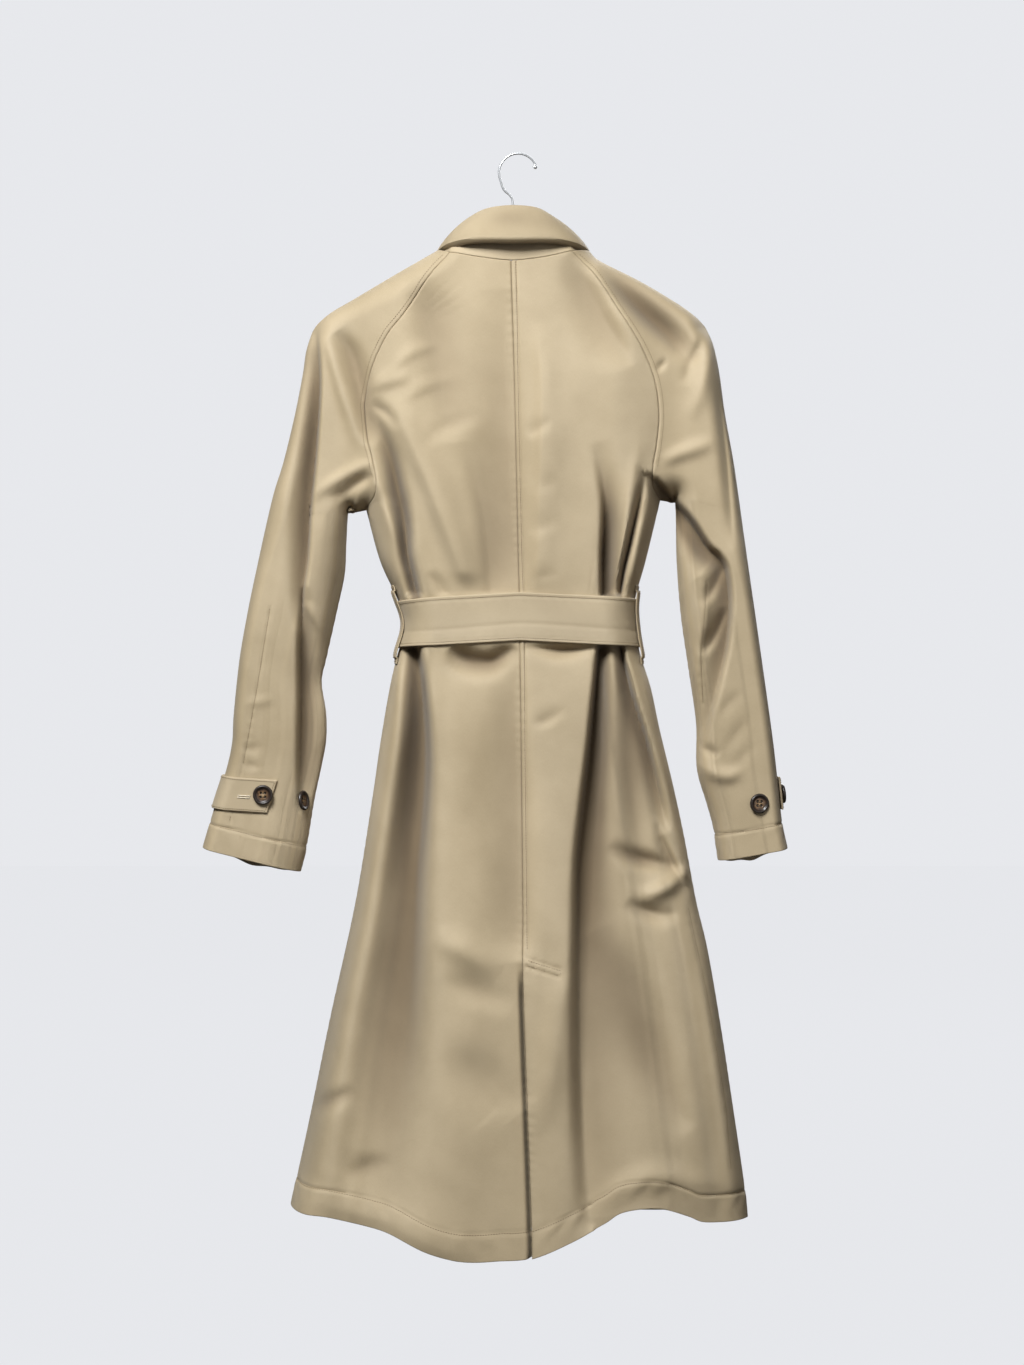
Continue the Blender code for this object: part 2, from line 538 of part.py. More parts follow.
def hook_path():
    """Wire of the hook: ball end, round top, and the bend back to the stem."""
    turn = np.radians(np.linspace(28, 196, 15))
    arc = np.stack([HOOK_RADIUS * np.cos(turn), np.zeros_like(turn),
                    WIRE_RADIUS - HOOK_RADIUS + HOOK_RADIUS * np.sin(turn)], axis=1)
    tip = curve_through(((21.5, 0, -14.5), (17.0, 0, -13.2), tuple(arc[0])), 3)[:-1]
    bend = curve_through((tuple(arc[-1]), (-16.5, 0, -40.0), (-8.8, 0, -47.5), (-6.0, 0, -57.0),
                          (-6.0, 0, ARM_TOP + ARM_RADIUS + SEAM_GAP)), 5)[1:]
    return np.vstack([tip, arc, bend])


def arm_path():
    """Middle of the hanger's arms: under both shoulder edges and over the neck."""
    under = ARM_RADIUS + CLOTH / 2 + SEAM_GAP
    shoulders = []
    for outline in (SHOULDER_LEFT, SHOULDER_RIGHT):
        edge = np.array(outline[:4], float)
        slope = np.gradient(edge, axis=0)
        slope /= np.linalg.norm(slope, axis=1, keepdims=True)
        square = np.stack([slope[:, 1], -slope[:, 0]], axis=1)
        square *= -np.sign(square[:, 1:]) * (under + np.array(ARM_EASE, float))[:, None]
        shoulders.append(edge + square)
    left, right = shoulders
    flat = np.vstack([left[::-1], [(-52, ARM_TOP - 9), (-6, ARM_TOP), (42, ARM_TOP - 9)], right])
    path = curve_through(flat, 3)
    return np.stack([path[:, 0], np.zeros(len(path)), path[:, 1]], axis=1)


def collar_points(rows_from, rows_to, count, bulge):
    """Grid between two sweeps of the collar, bowed outwards by bulge."""
    start, end = curve_through(rows_from, COLLAR_STEPS), curve_through(rows_to, COLLAR_STEPS)
    shares = np.linspace(0, 1, count)[:, None, None]
    grid = start[None] * (1 - shares) + end[None] * shares
    away = grid[:, :, :2] - COLLAR_MIDDLE
    away /= np.linalg.norm(away, axis=2, keepdims=True)
    bow = (bulge[0] + bulge[1] * smooth(start[None, :, 1:2] / 30)) * np.sin(np.pi * shares)
    grid[:, :, :2] += away * bow
    grid[:, :, 2] += 0.5 * bow[..., 0]
    return grid


def neck_ring():
    """Neck seam under the collar stand, from the front left end round the back to the front right."""
    front, back = curve_through(NECK_LINE_FRONT), curve_through(NECK_LINE_BACK)
    split_left = front[front[:, 0] <= -8][::-1]
    split_right = front[front[:, 0] >= -3][::-1]
    left = np.array([SHOULDER_LEFT[0]], float)
    right = np.array([SHOULDER_RIGHT[0]], float)

    def lifted(line, facing):
        return np.stack([line[:, 0], surface(line[:, 0], line[:, 1], facing), line[:, 1]], axis=1)

    side_left, side_right = lifted(left, -1), lifted(right, -1)
    side_left[:, 1] = side_right[:, 1] = 0.0
    return np.vstack([lifted(split_left, 1), side_left, lifted(back, -1), side_right, lifted(split_right, 1)])


def build_coat():
    """Panels, sleeves, collar, belt, tabs and buttons."""
    cloth = material("coat_gabardine", KHAKI, 0.72)
    horn = material("horn_button", HORN, 0.28)
    centre = curve_through(CENTRE_BACK)

    # body: back panels meet at the centre seam, the right front laps over the left one
    ends = {"left": side_rows(RAGLAN_LEFT, SIDE_LEFT, 1), "right": side_rows(RAGLAN_RIGHT, SIDE_RIGHT, 2)}
    drop_x, drop_z = FRONT_NECK_DROP
    front_ends = {"left": side_rows(RAGLAN_LEFT, SIDE_LEFT, 1, (drop_x, drop_z)),
                  "right": side_rows(RAGLAN_RIGHT, SIDE_RIGHT, 2, (-drop_x, drop_z))}
    back = {side: body_panel(ends[side], lambda z: at_height(centre, z), np.array(BACK_COLUMNS[side]),
                             NECK_LINE_BACK, HEM_BACK, -1) for side in ends}
    vent = smooth((VENT_TOP + 30 - back["right"][..., 2]) / 60)
    near_edge = 1 - smooth((back["right"][..., 0] - back["right"][:, -1:, 0] - 25) / 45)
    back["right"][..., 1] -= LAP_LIFT * vent * near_edge
    front = {}
    for side, edge in (("left", FRONT_UNDER), ("right", FRONT_EDGE)):
        front[side] = body_panel(front_ends[side], lambda z, edge=edge: np.full(len(z), edge),
                                 clustered(FRONT_COLUMNS), NECK_LINE_FRONT, HEM_FRONT, 1, FRONT_DROP)
    over = 1 - smooth((front["right"][..., 0] - LAP_END) / 30)
    front["right"][..., 1] += LAP_LIFT * over
    for side in ("left", "right"):
        panels = (("back_" + side, back[side], SEAM_GAP / 2), ("front_" + side, front[side], 0.0))
        for name, points, middle_gap in panels:
            clear = drawn_back(points, NECK_GAP, 0.0, seam_gaps(len(points)), middle_gap)
            wall(name, outward(clear, -1 if "back" in name else 1), CLOTH, cloth)

    # underlap of the vent, from the points of the flap that covers it
    low = np.nonzero(back["right"][:, -1, 2] < VENT_TOP - 20)[0]
    strip = outward(back["right"][low][:, -2:], -1)
    wall("vent_underlap", drawn_back(strip, 0, 3.0, 0.0, SEAM_GAP), CLOTH, cloth, lift=-(CLOTH + 0.4))

    # sleeves: a back half and a front half on each side
    sleeves = (("left", SHOULDER_LEFT, ARM_LEFT, INSIDE_LEFT, OUTER_LEFT),
               ("right", SHOULDER_RIGHT, ARM_RIGHT, INSIDE_RIGHT, OUTER_RIGHT))
    for side, shoulder, arm, inside, match in sleeves:
        for half, facing, seam_ends in (("back", -1, ends[side]), ("front", 1, front_ends[side])):
            points = sleeve_panel(seam_ends, shoulder, arm, inside, match, facing)
            clear = drawn_back(points, NECK_GAP, 0.0, EDGE_GAP, seam_gaps(len(points)))
            wall("sleeve_%s_%s" % (side, half), outward(clear, facing), CLOTH, cloth)
    build_tabs(cloth, horn)
    build_collar(cloth)
    build_belt(back, front, cloth, horn)
    build_front_buttons(horn)


def seam_gaps(rows):
    """Gap of each row at a side edge: the seam's own gap, and more where the panels meet in a point."""
    gaps = np.full(rows, SEAM_GAP)
    point = len(RAGLAN_SHARES) - 1
    gaps[point - 1:point + 2] = ARMPIT_GAP
    return gaps


def outward(points, facing):
    """The grid with its columns ordered so that its normals point away from the coat's middle."""
    middle = normals(points)[..., 1].mean()
    return points if middle * facing > 0 else points[:, ::-1]


def build_tabs(cloth, horn):
    """Sleeve tabs with their buttons, and the spare buttons beside them."""
    for side, sizes, arm, inside, tilt, x_button, x_spare, seat in (
            ("left", TAB_LEFT, ARM_LEFT, INSIDE_LEFT, 7.0, -291, -251, -0.9),
            ("right", TAB_RIGHT, ARM_RIGHT, INSIDE_RIGHT, -2.0, None, 275, 0.0)):
        points = tab_points(sizes, arm, inside, tilt)
        out_sign = 1.0 if normals(points)[..., 0].mean() * x_spare > 0 else -1.0
        grid = points if out_sign > 0 else points[:, ::-1]
        lift = CLOTH / 2 + SEAM_GAP + DOUBLE_CLOTH / 2 + 0.5
        wall("sleeve_tab_" + side, grid, DOUBLE_CLOTH, cloth, lift=lift)
        height = (sizes["top"] + sizes["bottom"]) / 2 - 2
        on_tab = CLOTH / 2 + DOUBLE_CLOTH + 2 * SEAM_GAP + 1.0
        if x_button is not None:
            place, normal = normal_at(x_button, height, -1, True)
        else:
            row = points[1]
            place = row[2]
            normal = normals(points)[1, 2] * out_sign
        button("tab_button_" + side, place + normal * on_tab, normal, horn)
        place, normal = normal_at(x_spare, height - SPARE_DROP, -1, True)
        button("spare_button_" + side, place + normal * (CLOTH / 2 + seat), normal, horn)


def build_collar(cloth):
    """Stand that rises from the neck seam to the roll line, and the fall turned down over it."""
    neck = neck_ring()
    top = curve_through(ROLL_LINE, COLLAR_STEPS)
    shares = lengths(top) / lengths(top)[-1]
    foot = at_length(neck, shares * lengths(neck)[-1])
    foot[:, 2] += SEAM_GAP + FOOT_LIFT * smooth((foot[:, 1] - 30) / 15)
    away = top[:, :2] - COLLAR_MIDDLE
    away /= np.linalg.norm(away, axis=1, keepdims=True)
    top[:, :2] -= away * STAND_INSET
    top[:, 2] -= STAND_DROP
    levels = np.linspace(0, 1, 3)[:, None, None]
    stand = foot[None] * (1 - levels) + top[None] * levels
    wall("collar_stand", stand, DOUBLE_CLOTH, cloth)
    wall("collar_fall", collar_points(ROLL_LINE, FALL_EDGE, FALL_ROWS, FALL_BULGE), DOUBLE_CLOTH, cloth)


def belt_ring(back, front):
    """Three rows round the waist: the back's own points, then level steps across the lapped fronts."""
    rows = np.nonzero((middle_rows() <= BELT_ROWS[0] + 0.1) & (middle_rows() >= BELT_ROWS[1] - 0.1))[0]
    behind = np.concatenate([back["left"][rows][:, :-1], back["right"][rows][:, ::-1]], axis=1)
    ahead = []
    for row in rows:
        right, left = front["right"][row], front["left"][row]
        x = right[0, 0] + (left[0, 0] - right[0, 0]) * clustered(BELT_FRONT_STEPS, True, True)[1:-1]
        line = np.vstack([right[:-1], left[:-1][::-1]])[::-1]
        z = np.interp(x, line[:, 0], line[:, 2])
        ahead.append(np.stack([x, surface(x, z, 1) + LAP_LIFT * smooth((110 - np.abs(x)) / 40), z], axis=1))
    return np.concatenate([behind, np.array(ahead)], axis=1)


def build_belt(back, front, cloth, horn):
    """Belt, its free end, a plain buckle with its prong, and the loops at the side seams."""
    lift = CLOTH / 2 + SEAM_GAP + DOUBLE_CLOTH / 2 + 0.5
    ring = belt_ring(back, front)
    belt = ring if normals(ring, True)[0, 8, 1] < 0 else ring[:, ::-1]
    wall("belt", belt, DOUBLE_CLOTH, cloth, wrap=True, lift=lift)

    # the free end lies on the belt in front, under the buckle
    ahead = (belt[1, :, 1] > 0) & (belt[1, :, 0] > BELT_END[0]) & (belt[1, :, 0] < BELT_END[1])
    end_lift = lift + DOUBLE_CLOTH + SEAM_GAP
    wall("belt_end", belt[:, ahead], DOUBLE_CLOTH, cloth, lift=end_lift)
    face = belt[:, ahead, 1].max() + end_lift + DOUBLE_CLOTH / 2 + SEAM_GAP
    middle = belt[1, ahead, 2].mean()
    frame_of_buckle("belt_buckle", BUCKLE_X, face, middle, horn)
    reach = BUCKLE_WIDTH / 2 - 3.0
    bar = face + BUCKLE_DEPTH + PRONG_RADIUS + SEAM_GAP
    prong = [(BUCKLE_X + reach * share, bar, middle) for share in (1.0, 0.0, -1.0)]
    tube("buckle_prong", np.array(prong), PRONG_RADIUS, horn, sides=8)
    build_loop("left", SIDE_LEFT, -1, cloth)
    build_loop("right", SIDE_RIGHT, 1, cloth)


def frame_of_buckle(name, x, y, z, finish):
    """Rounded rectangular frame, swept as a closed ring with a flat bar section."""
    width, height, bar, radius = BUCKLE_WIDTH, BUCKLE_HEIGHT, BUCKLE_BAR, BUCKLE_CORNER
    turn = np.linspace(0, np.pi / 2, 6)
    outline = []
    for quarter_turn, (sx, sz) in enumerate(((1, 1), (-1, 1), (-1, -1), (1, -1))):
        angle = turn + quarter_turn * np.pi / 2
        outline.append(np.stack([sx * (width / 2 - radius) + radius * np.cos(angle),
                                 sz * (height / 2 - radius) + radius * np.sin(angle)], axis=1))
    outer = np.vstack(outline)
    inner = outer * np.array([(width / 2 - bar) / (width / 2), (height / 2 - bar) / (height / 2)])
    loops = [np.stack([x + ring[:, 0], np.full(len(ring), y + lift), z + ring[:, 1]], axis=1)
             for ring, lift in ((outer, 0.0), (outer, BUCKLE_DEPTH), (inner, BUCKLE_DEPTH), (inner, 0.0))]
    count = len(outer)
    index = np.arange(4 * count).reshape(4, count)
    right = np.roll(index, -1, axis=1)
    below = np.roll(index, -1, axis=0)
    below_right = np.roll(right, -1, axis=0)
    faces = np.stack([index, right, below_right, below], axis=-1).reshape(-1, 4)
    return closed_mesh(name, np.vstack(loops) * MM, faces.tolist(), finish)


def build_loop(side, edge, sign, cloth):
    """Belt loop at a side seam: from the cloth above, out over the belt, to the cloth below."""
    edge = curve_through(edge)
    depths = np.array(BODY_DEPTH, float)
    rows = []
    for height, out in LOOP_ROWS:
        cap = np.interp(-height, -depths[:, 0], depths[:, 1])
        row = []
        for y in LOOP_Y:
            inset = cap * ROUNDING * (1 - np.sqrt(1 - (y / cap) ** 2))
            square = np.array([sign, y / cap]) / np.hypot(1.0, y / cap)
            x = at_height(edge, height) - sign * inset
            row.append((x + square[0] * out, y + square[1] * out, height))
        rows.append(row)
    grid = np.array(rows, float)
    if normals(grid)[..., 0].mean() * sign < 0:
        grid = grid[:, ::-1]
    wall("belt_loop_" + side, grid, CLOTH, cloth)


def build_front_buttons(horn):
    """Row of buttons down the lapped front."""
    for number, height in enumerate(FRONT_BUTTON_ROWS, 1):
        place, normal = normal_at(FRONT_BUTTON_X, height, 1)
        place += normal * (LAP_LIFT + CLOTH / 2 + SEAM_GAP)
        button("front_button_%d" % number, place, normal, horn)


def build_hanger():
    """Wire hook with a ball end, and plain arms that carry the shoulders."""
    chrome = material("hook_wire", CHROME, 0.18, 1.0)
    arms = material("hanger_arms", ARM_GREY, 0.5)
    path = hook_path()
    radius = np.full(len(path), WIRE_RADIUS)
    radius[:3] = (1.2, BALL_RADIUS, 1.9)
    tube("hanger_hook", path, radius, chrome, sides=10)
    arm = arm_path()
    radius = np.full(len(arm), ARM_RADIUS)
    radius[[0, -1]] = 0.55 * ARM_RADIUS
    tube("hanger_arms", arm, radius, arms, sides=10)


for leftover in list(bpy.data.objects):
    bpy.data.objects.remove(leftover, do_unlink=True)
build_coat()
build_hanger()
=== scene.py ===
"""A khaki raglan trench coat, seen from behind, hung on a plain wire-hook hanger.

Tables are in millimetres and meshes in metres. +Z is up, the back of the coat faces -Y, the wearer's
right side is +X, and the origin is the underside of the hook's round top. Each panel is a thin wall on
one closed form: its depth rises from the coat's outline as a quarter circle, less the depth of the folds.
"""

import bpy
import numpy as np
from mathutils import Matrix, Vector


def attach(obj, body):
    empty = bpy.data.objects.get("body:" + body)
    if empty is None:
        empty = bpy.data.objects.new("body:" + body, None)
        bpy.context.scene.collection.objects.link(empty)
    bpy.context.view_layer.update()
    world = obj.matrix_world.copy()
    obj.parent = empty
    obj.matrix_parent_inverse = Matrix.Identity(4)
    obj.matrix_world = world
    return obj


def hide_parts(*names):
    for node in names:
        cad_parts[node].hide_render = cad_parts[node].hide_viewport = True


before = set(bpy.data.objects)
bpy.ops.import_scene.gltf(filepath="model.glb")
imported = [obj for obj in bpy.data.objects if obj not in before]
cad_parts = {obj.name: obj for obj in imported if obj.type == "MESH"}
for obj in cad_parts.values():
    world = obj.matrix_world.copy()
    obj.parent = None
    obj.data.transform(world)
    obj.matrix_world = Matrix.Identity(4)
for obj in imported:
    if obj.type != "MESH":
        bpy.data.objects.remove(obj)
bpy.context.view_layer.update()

# ---------------------------------------------------------------------------------------------------
# Hanger. A chromed wire hook with a small ball at its tip stands in plain moulded arms that carry the
# shoulders. Only the hook shows from behind. The wire is one bent rod; the arms taper to their tips.
# ---------------------------------------------------------------------------------------------------
MM = 0.001
WIRE = 1.3
HOOK_ROUND = 22.0
BALL = (1.0, 1.9, 2.5, 1.9)
ARM_ROUND = 5.4
TAPER = 14
ARMS = ((-205, -183), (-187, -173.5), (-138, -147), (-87, -123), (-52, -113), (-6, -104), (42, -113),
        (76, -124), (91, -131), (135, -153.5), (177, -178), (190, -187.5))


def curve_through(points, per_span=8):
    """Catmull-Rom curve: each span is the cubic that leaves a point along the line between its neighbours."""
    knots = np.asarray(points, float)
    padded = np.vstack([2 * knots[0] - knots[1], knots, 2 * knots[-1] - knots[-2]])
    p0, p1, p2, p3 = (part[:, None, :] for part in (padded[:-3], padded[1:-2], padded[2:-1], padded[3:]))
    t = np.linspace(0, 1, per_span, endpoint=False)[None, :, None]
    spans = 0.5 * (2 * p1 + (p2 - p0) * t + (2 * p0 - 5 * p1 + 4 * p2 - p3) * t ** 2
                   + (3 * p1 - p0 - 3 * p2 + p3) * t ** 3)
    return np.vstack([spans.reshape(-1, knots.shape[1]), knots[-1:]])


def unit(vectors):
    """Vectors divided by their own length."""
    return vectors / np.maximum(np.linalg.norm(vectors, axis=-1, keepdims=True), 1e-9)


def piece(name, vertices, faces, finish, uv=None, sharp=0.9, shade=None):
    """Mesh piece from arrays in mm. Its faces are turned outwards by the sign of the volume they close."""
    faces = np.asarray(faces)
    corners = vertices[faces]
    volume = sum((corners[:, 0] * np.cross(corners[:, k], corners[:, k + 1])).sum()
                 for k in range(1, faces.shape[1] - 1))
    if volume < 0:
        faces = faces[:, ::-1]
    mesh = bpy.data.meshes.new(name)
    mesh.vertices.add(len(vertices))
    mesh.vertices.foreach_set("co", (vertices * MM).astype(np.float32).ravel())
    mesh.loops.add(faces.size)
    mesh.loops.foreach_set("vertex_index", faces.ravel().astype(np.int32))
    mesh.polygons.add(len(faces))
    mesh.polygons.foreach_set("loop_start", np.arange(0, faces.size, faces.shape[1], dtype=np.int32))
    mesh.update(calc_edges=True)
    if uv is not None:
        layer = mesh.uv_layers.new(name="cut")
        layer.uv.foreach_set("vector", uv[faces.ravel()].astype(np.float32).ravel())
    if shade is not None:
        layer = mesh.attributes.new("shade", "FLOAT", "POINT")
        layer.data.foreach_set("value", shade.astype(np.float32))
    mesh.validate()
    mesh.materials.append(finish)
    mesh.shade_smooth()
    mesh.set_sharp_from_angle(angle=sharp)
    made = bpy.data.objects.new(name, mesh)
    bpy.context.scene.collection.objects.link(made)
    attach(made, "root")
    return made


def quads(index, wrap=False):
    """Faces between the neighbouring rows and columns of a grid of vertex numbers, whose last column may
    meet its first one."""
    if wrap:
        index = np.hstack([index, index[:, :1]])
    return np.stack([index[:-1, :-1], index[:-1, 1:], index[1:, 1:], index[1:, :-1]], -1).reshape(-1, 4)


def rod(name, path, radius, finish, sides=16):
    """Round rod: a circle of the given radius carried along the path, square to it, with closed ends."""
    tangent = unit(np.gradient(path, axis=0))
    across = unit(np.cross(tangent, [0.0, 1.0, 0.0]))
    up = np.cross(across, tangent)
    turn = np.linspace(0, 2 * np.pi, sides, endpoint=False)[None, :, None]
    reach = np.broadcast_to(radius, len(path))[:, None, None]
    rings = path[:, None, :] + reach * (np.cos(turn) * across[:, None] + np.sin(turn) * up[:, None])
    index = np.arange(len(path) * sides).reshape(len(path), sides)
    side = np.roll(index, -1, axis=1)
    ends = [len(path) * sides, len(path) * sides + 1]
    caps = [np.stack([index[row], side[row], np.full(sides, end), np.full(sides, end)], axis=-1)
            for row, end in ((0, ends[0]), (-1, ends[1]))]
    caps[0] = caps[0][:, ::-1]
    vertices = np.vstack([rings.reshape(-1, 3), path[:1], path[-1:]])
    return piece(name, vertices, np.vstack([quads(index, True)] + caps), finish)


def shader(name, colour, roughness, **sockets):
    """Material with its numbers set on the surface shader's own sockets."""
    made = bpy.data.materials.new(name)
    made.use_nodes = True
    surface = made.node_tree.nodes["Principled BSDF"]
    surface.inputs["Base Color"].default_value = (*colour, 1.0)
    surface.inputs["Roughness"].default_value = roughness
    for socket, value in sockets.items():
        surface.inputs[socket.replace("_", " ")].default_value = value
    return made


def add_node(tree, kind, inputs=None, **settings):
    """Adds a node, makes its settings, and links or sets each of its inputs."""
    made = tree.nodes.new(kind)
    for name, value in settings.items():
        setattr(made, name, value)
    for name, value in (inputs or {}).items():
        if isinstance(value, bpy.types.NodeSocket):
            tree.links.new(value, made.inputs[name])
        else:
            made.inputs[name].default_value = value
    return made


def ramp_of(tree, value, stops):
    """Colour that runs evenly between stops of (position, colour)."""
    ramp = add_node(tree, "ShaderNodeValToRGB", {"Fac": value})
    for element, (position, colour) in zip(ramp.color_ramp.elements, (stops[0], stops[-1])):
        element.position, element.color = position, (*colour, 1.0)
    for position, colour in stops[1:-1]:
        ramp.color_ramp.elements.new(position).color = (*colour, 1.0)
    return ramp.outputs["Color"]


def speckled(material, scale, low, high, bump=0.0):
    """Cloudy noise on Object coordinates that moves the base colour between two colours."""
    tree = material.node_tree
    surface = tree.nodes["Principled BSDF"]
    place = add_node(tree, "ShaderNodeTexCoord").outputs["Object"]
    noise = add_node(tree, "ShaderNodeTexNoise", {"Vector": place, "Scale": scale, "Detail": 4.0})
    colour = ramp_of(tree, noise.outputs["Fac"], ((0.38, low), (0.66, high)))
    tree.links.new(colour, surface.inputs["Base Color"])
    if bump:
        relief = add_node(tree, "ShaderNodeBump", {"Height": noise.outputs["Fac"], "Distance": bump})
        tree.links.new(relief.outputs["Normal"], surface.inputs["Normal"])
    return material


chrome = speckled(shader("hook_chrome", (0.62, 0.63, 0.65), 0.25, Metallic=0.6), 420.0,
                  (0.55, 0.56, 0.58), (0.68, 0.69, 0.71), 0.00002)
moulded = speckled(shader("arms_moulded", (0.55, 0.52, 0.47), 0.45), 260.0,
                   (0.50, 0.47, 0.42), (0.58, 0.55, 0.50), 0.00005)

turn = np.radians(np.linspace(26, 196, 41))
round_top = np.stack([HOOK_ROUND * np.cos(turn), 0 * turn, WIRE - HOOK_ROUND + HOOK_ROUND * np.sin(turn)], 1)
ball = np.array([(21.6, 0, -15.2), (21.2, 0, -15.0), (19.9, 0, -14.4), (18.6, 0, -13.7)])
stem = curve_through((tuple(round_top[-1]), (-16.5, 0, -40.0), (-8.8, 0, -47.5), (-6.0, 0, -57.0),
                      (-6.0, 0, -98.2)), 12)[1:]
wire_path = np.vstack([ball, round_top, stem])
wire_radius = np.full(len(wire_path), WIRE)
wire_radius[:len(BALL)] = BALL
hook = rod("hook_wire", wire_path, wire_radius, chrome, 20)
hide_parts("hanger_hook")

arm_line = curve_through(ARMS, 10)
arm_radius = np.full(len(arm_line), ARM_ROUND)
arm_tip = ARM_ROUND * (0.45 + 0.55 * np.sin(np.linspace(0.1, np.pi / 2, TAPER)))
arm_radius[:TAPER] = arm_radius[-TAPER:][::-1] = arm_tip
arms = rod("hanger_arm_rods", np.stack([arm_line[:, 0], 0 * arm_line[:, 0], arm_line[:, 1]], 1), arm_radius,
           moulded, 20)
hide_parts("hanger_arms")

# ---------------------------------------------------------------------------------------------------
# Cut of the coat and its cloth. Smooth cotton gabardine with a soft sheen, a steep fine twill and
# matching thread. The tables give the outline as it hangs, the seams, the depths and the hems.
# ---------------------------------------------------------------------------------------------------
CLOTH = 1.3
OUTLINE = {
    "shoulder left": ((-93, -112), (-140, -139), (-189, -168), (-213, -182), (-229, -195), (-236, -204)),
    "shoulder right": ((82, -113), (94, -124), (138, -146), (182, -172), (204, -188), (215, -199)),
    "arm left": ((-236, -204), (-243, -227), (-247, -254), (-256, -300), (-269, -354), (-282, -397),
                 (-301, -482), (-311, -530), (-320, -581), (-327, -644), (-329, -676), (-336, -708),
                 (-350, -752), (-363, -797)),
    "arm right": ((215, -199), (224, -221), (231, -254), (237, -298), (248, -360), (263, -467),
                  (290, -651), (298, -714), (304, -768), (310, -798)),
    "inside left": ((-174, -408), (-185, -410), (-195, -408), (-198, -444), (-200, -482), (-209, -524),
                    (-221, -577), (-227, -606), (-222, -642), (-222, -673), (-227, -701), (-236, -743),
                    (-244, -792), (-252, -825)),
    "inside right": ((163, -397), (172, -398), (181, -398), (183, -467), (188, -529), (197, -591),
                     (206, -654), (207, -706), (218, -745), (226, -774), (232, -812)),
    "side left": ((-174, -408), (-158, -467), (-138, -511), (-129, -541), (-138, -575), (-147, -614),
                  (-158, -679), (-167, -741), (-186, -858), (-214, -986), (-238, -1103), (-260, -1204)),
    "side right": ((163, -397), (146, -467), (134, -511), (134, -541), (140, -575), (152, -614),
                   (162, -661), (177, -723), (190, -783), (204, -858), (217, -913), (232, -1000),
                   (247, -1099), (259, -1181), (263, -1220)),
}
RAGLAN = {
    "left": ((-78, -119), (-100, -145), (-128, -188), (-148, -213), (-166, -250), (-174, -284),
             (-174, -303), (-170, -335), (-164, -358), (-161, -380), (-163, -396), (-174, -408)),
    "right": ((61, -118), (88, -145), (116, -188), (140, -228), (155, -265), (160, -303),
              (157, -338), (153, -362), (153, -383), (163, -397)),
}
CENTRE_BACK = ((-8, -129), (-5, -247), (0, -467), (1, -505), (3, -666), (5, -852), (5, -914),
               (7, -985), (15, -1210), (15, -1252))
LEVELS = ((-405, -408, -397), (-470, -476, -470), (-505, -513, -511), (-532, -540, -538),
          (-560, -568, -567), (-620, -626, -626), (-1246, -1204, -1220))
BODY_DEPTH = ((-60, 45, 42), (-130, 46, 46), (-200, 54, 58), (-300, 61, 66), (-400, 62, 64),
              (-505, 58, 58), (-560, 58, 58), (-620, 66, 63), (-750, 78, 74), (-900, 87, 84),
              (-1050, 94, 90), (-1300, 99, 93))
SLEEVE_DEPTH = ((-100, 40, 40), (-250, 38, 38), (-450, 36, 36), (-650, 33, 33), (-850, 31, 31))
HEM_BACK = ((-260, -1204), (-241, -1206), (-212, -1208), (-171, -1215), (-143, -1222), (-104, -1240),
            (-75, -1249), (-50, -1252), (-24, -1251), (14, -1248), (57, -1231), (95, -1212),
            (114, -1200), (138, -1196), (164, -1198), (192, -1208), (211, -1216), (255, -1218),
            (263, -1220))
HEM_FRONT = ((-260, -1204), (-180, -1222), (-80, -1234), (0, -1236), (90, -1232), (190, -1226),
             (263, -1220))
NECK_BACK = ((-78, -119), (-45, -125), (-8, -129), (30, -125), (61, -118))
NECK_FRONT = ((-72, -141), (-50, -160), (-25, -176), (-4, -180), (20, -176), (42, -160), (55, -140))
NECK_LEVEL = -129.0
ARMPIT = -400.0
SEAM_END = -405.0
BELT_MIDDLE = -537.0
SKIRT_TOP = -590.0
HEM_LEVEL = -1246.0
FLATNESS = 0.66
EDGE_FADE = 9.0
LIMPNESS = 0.75

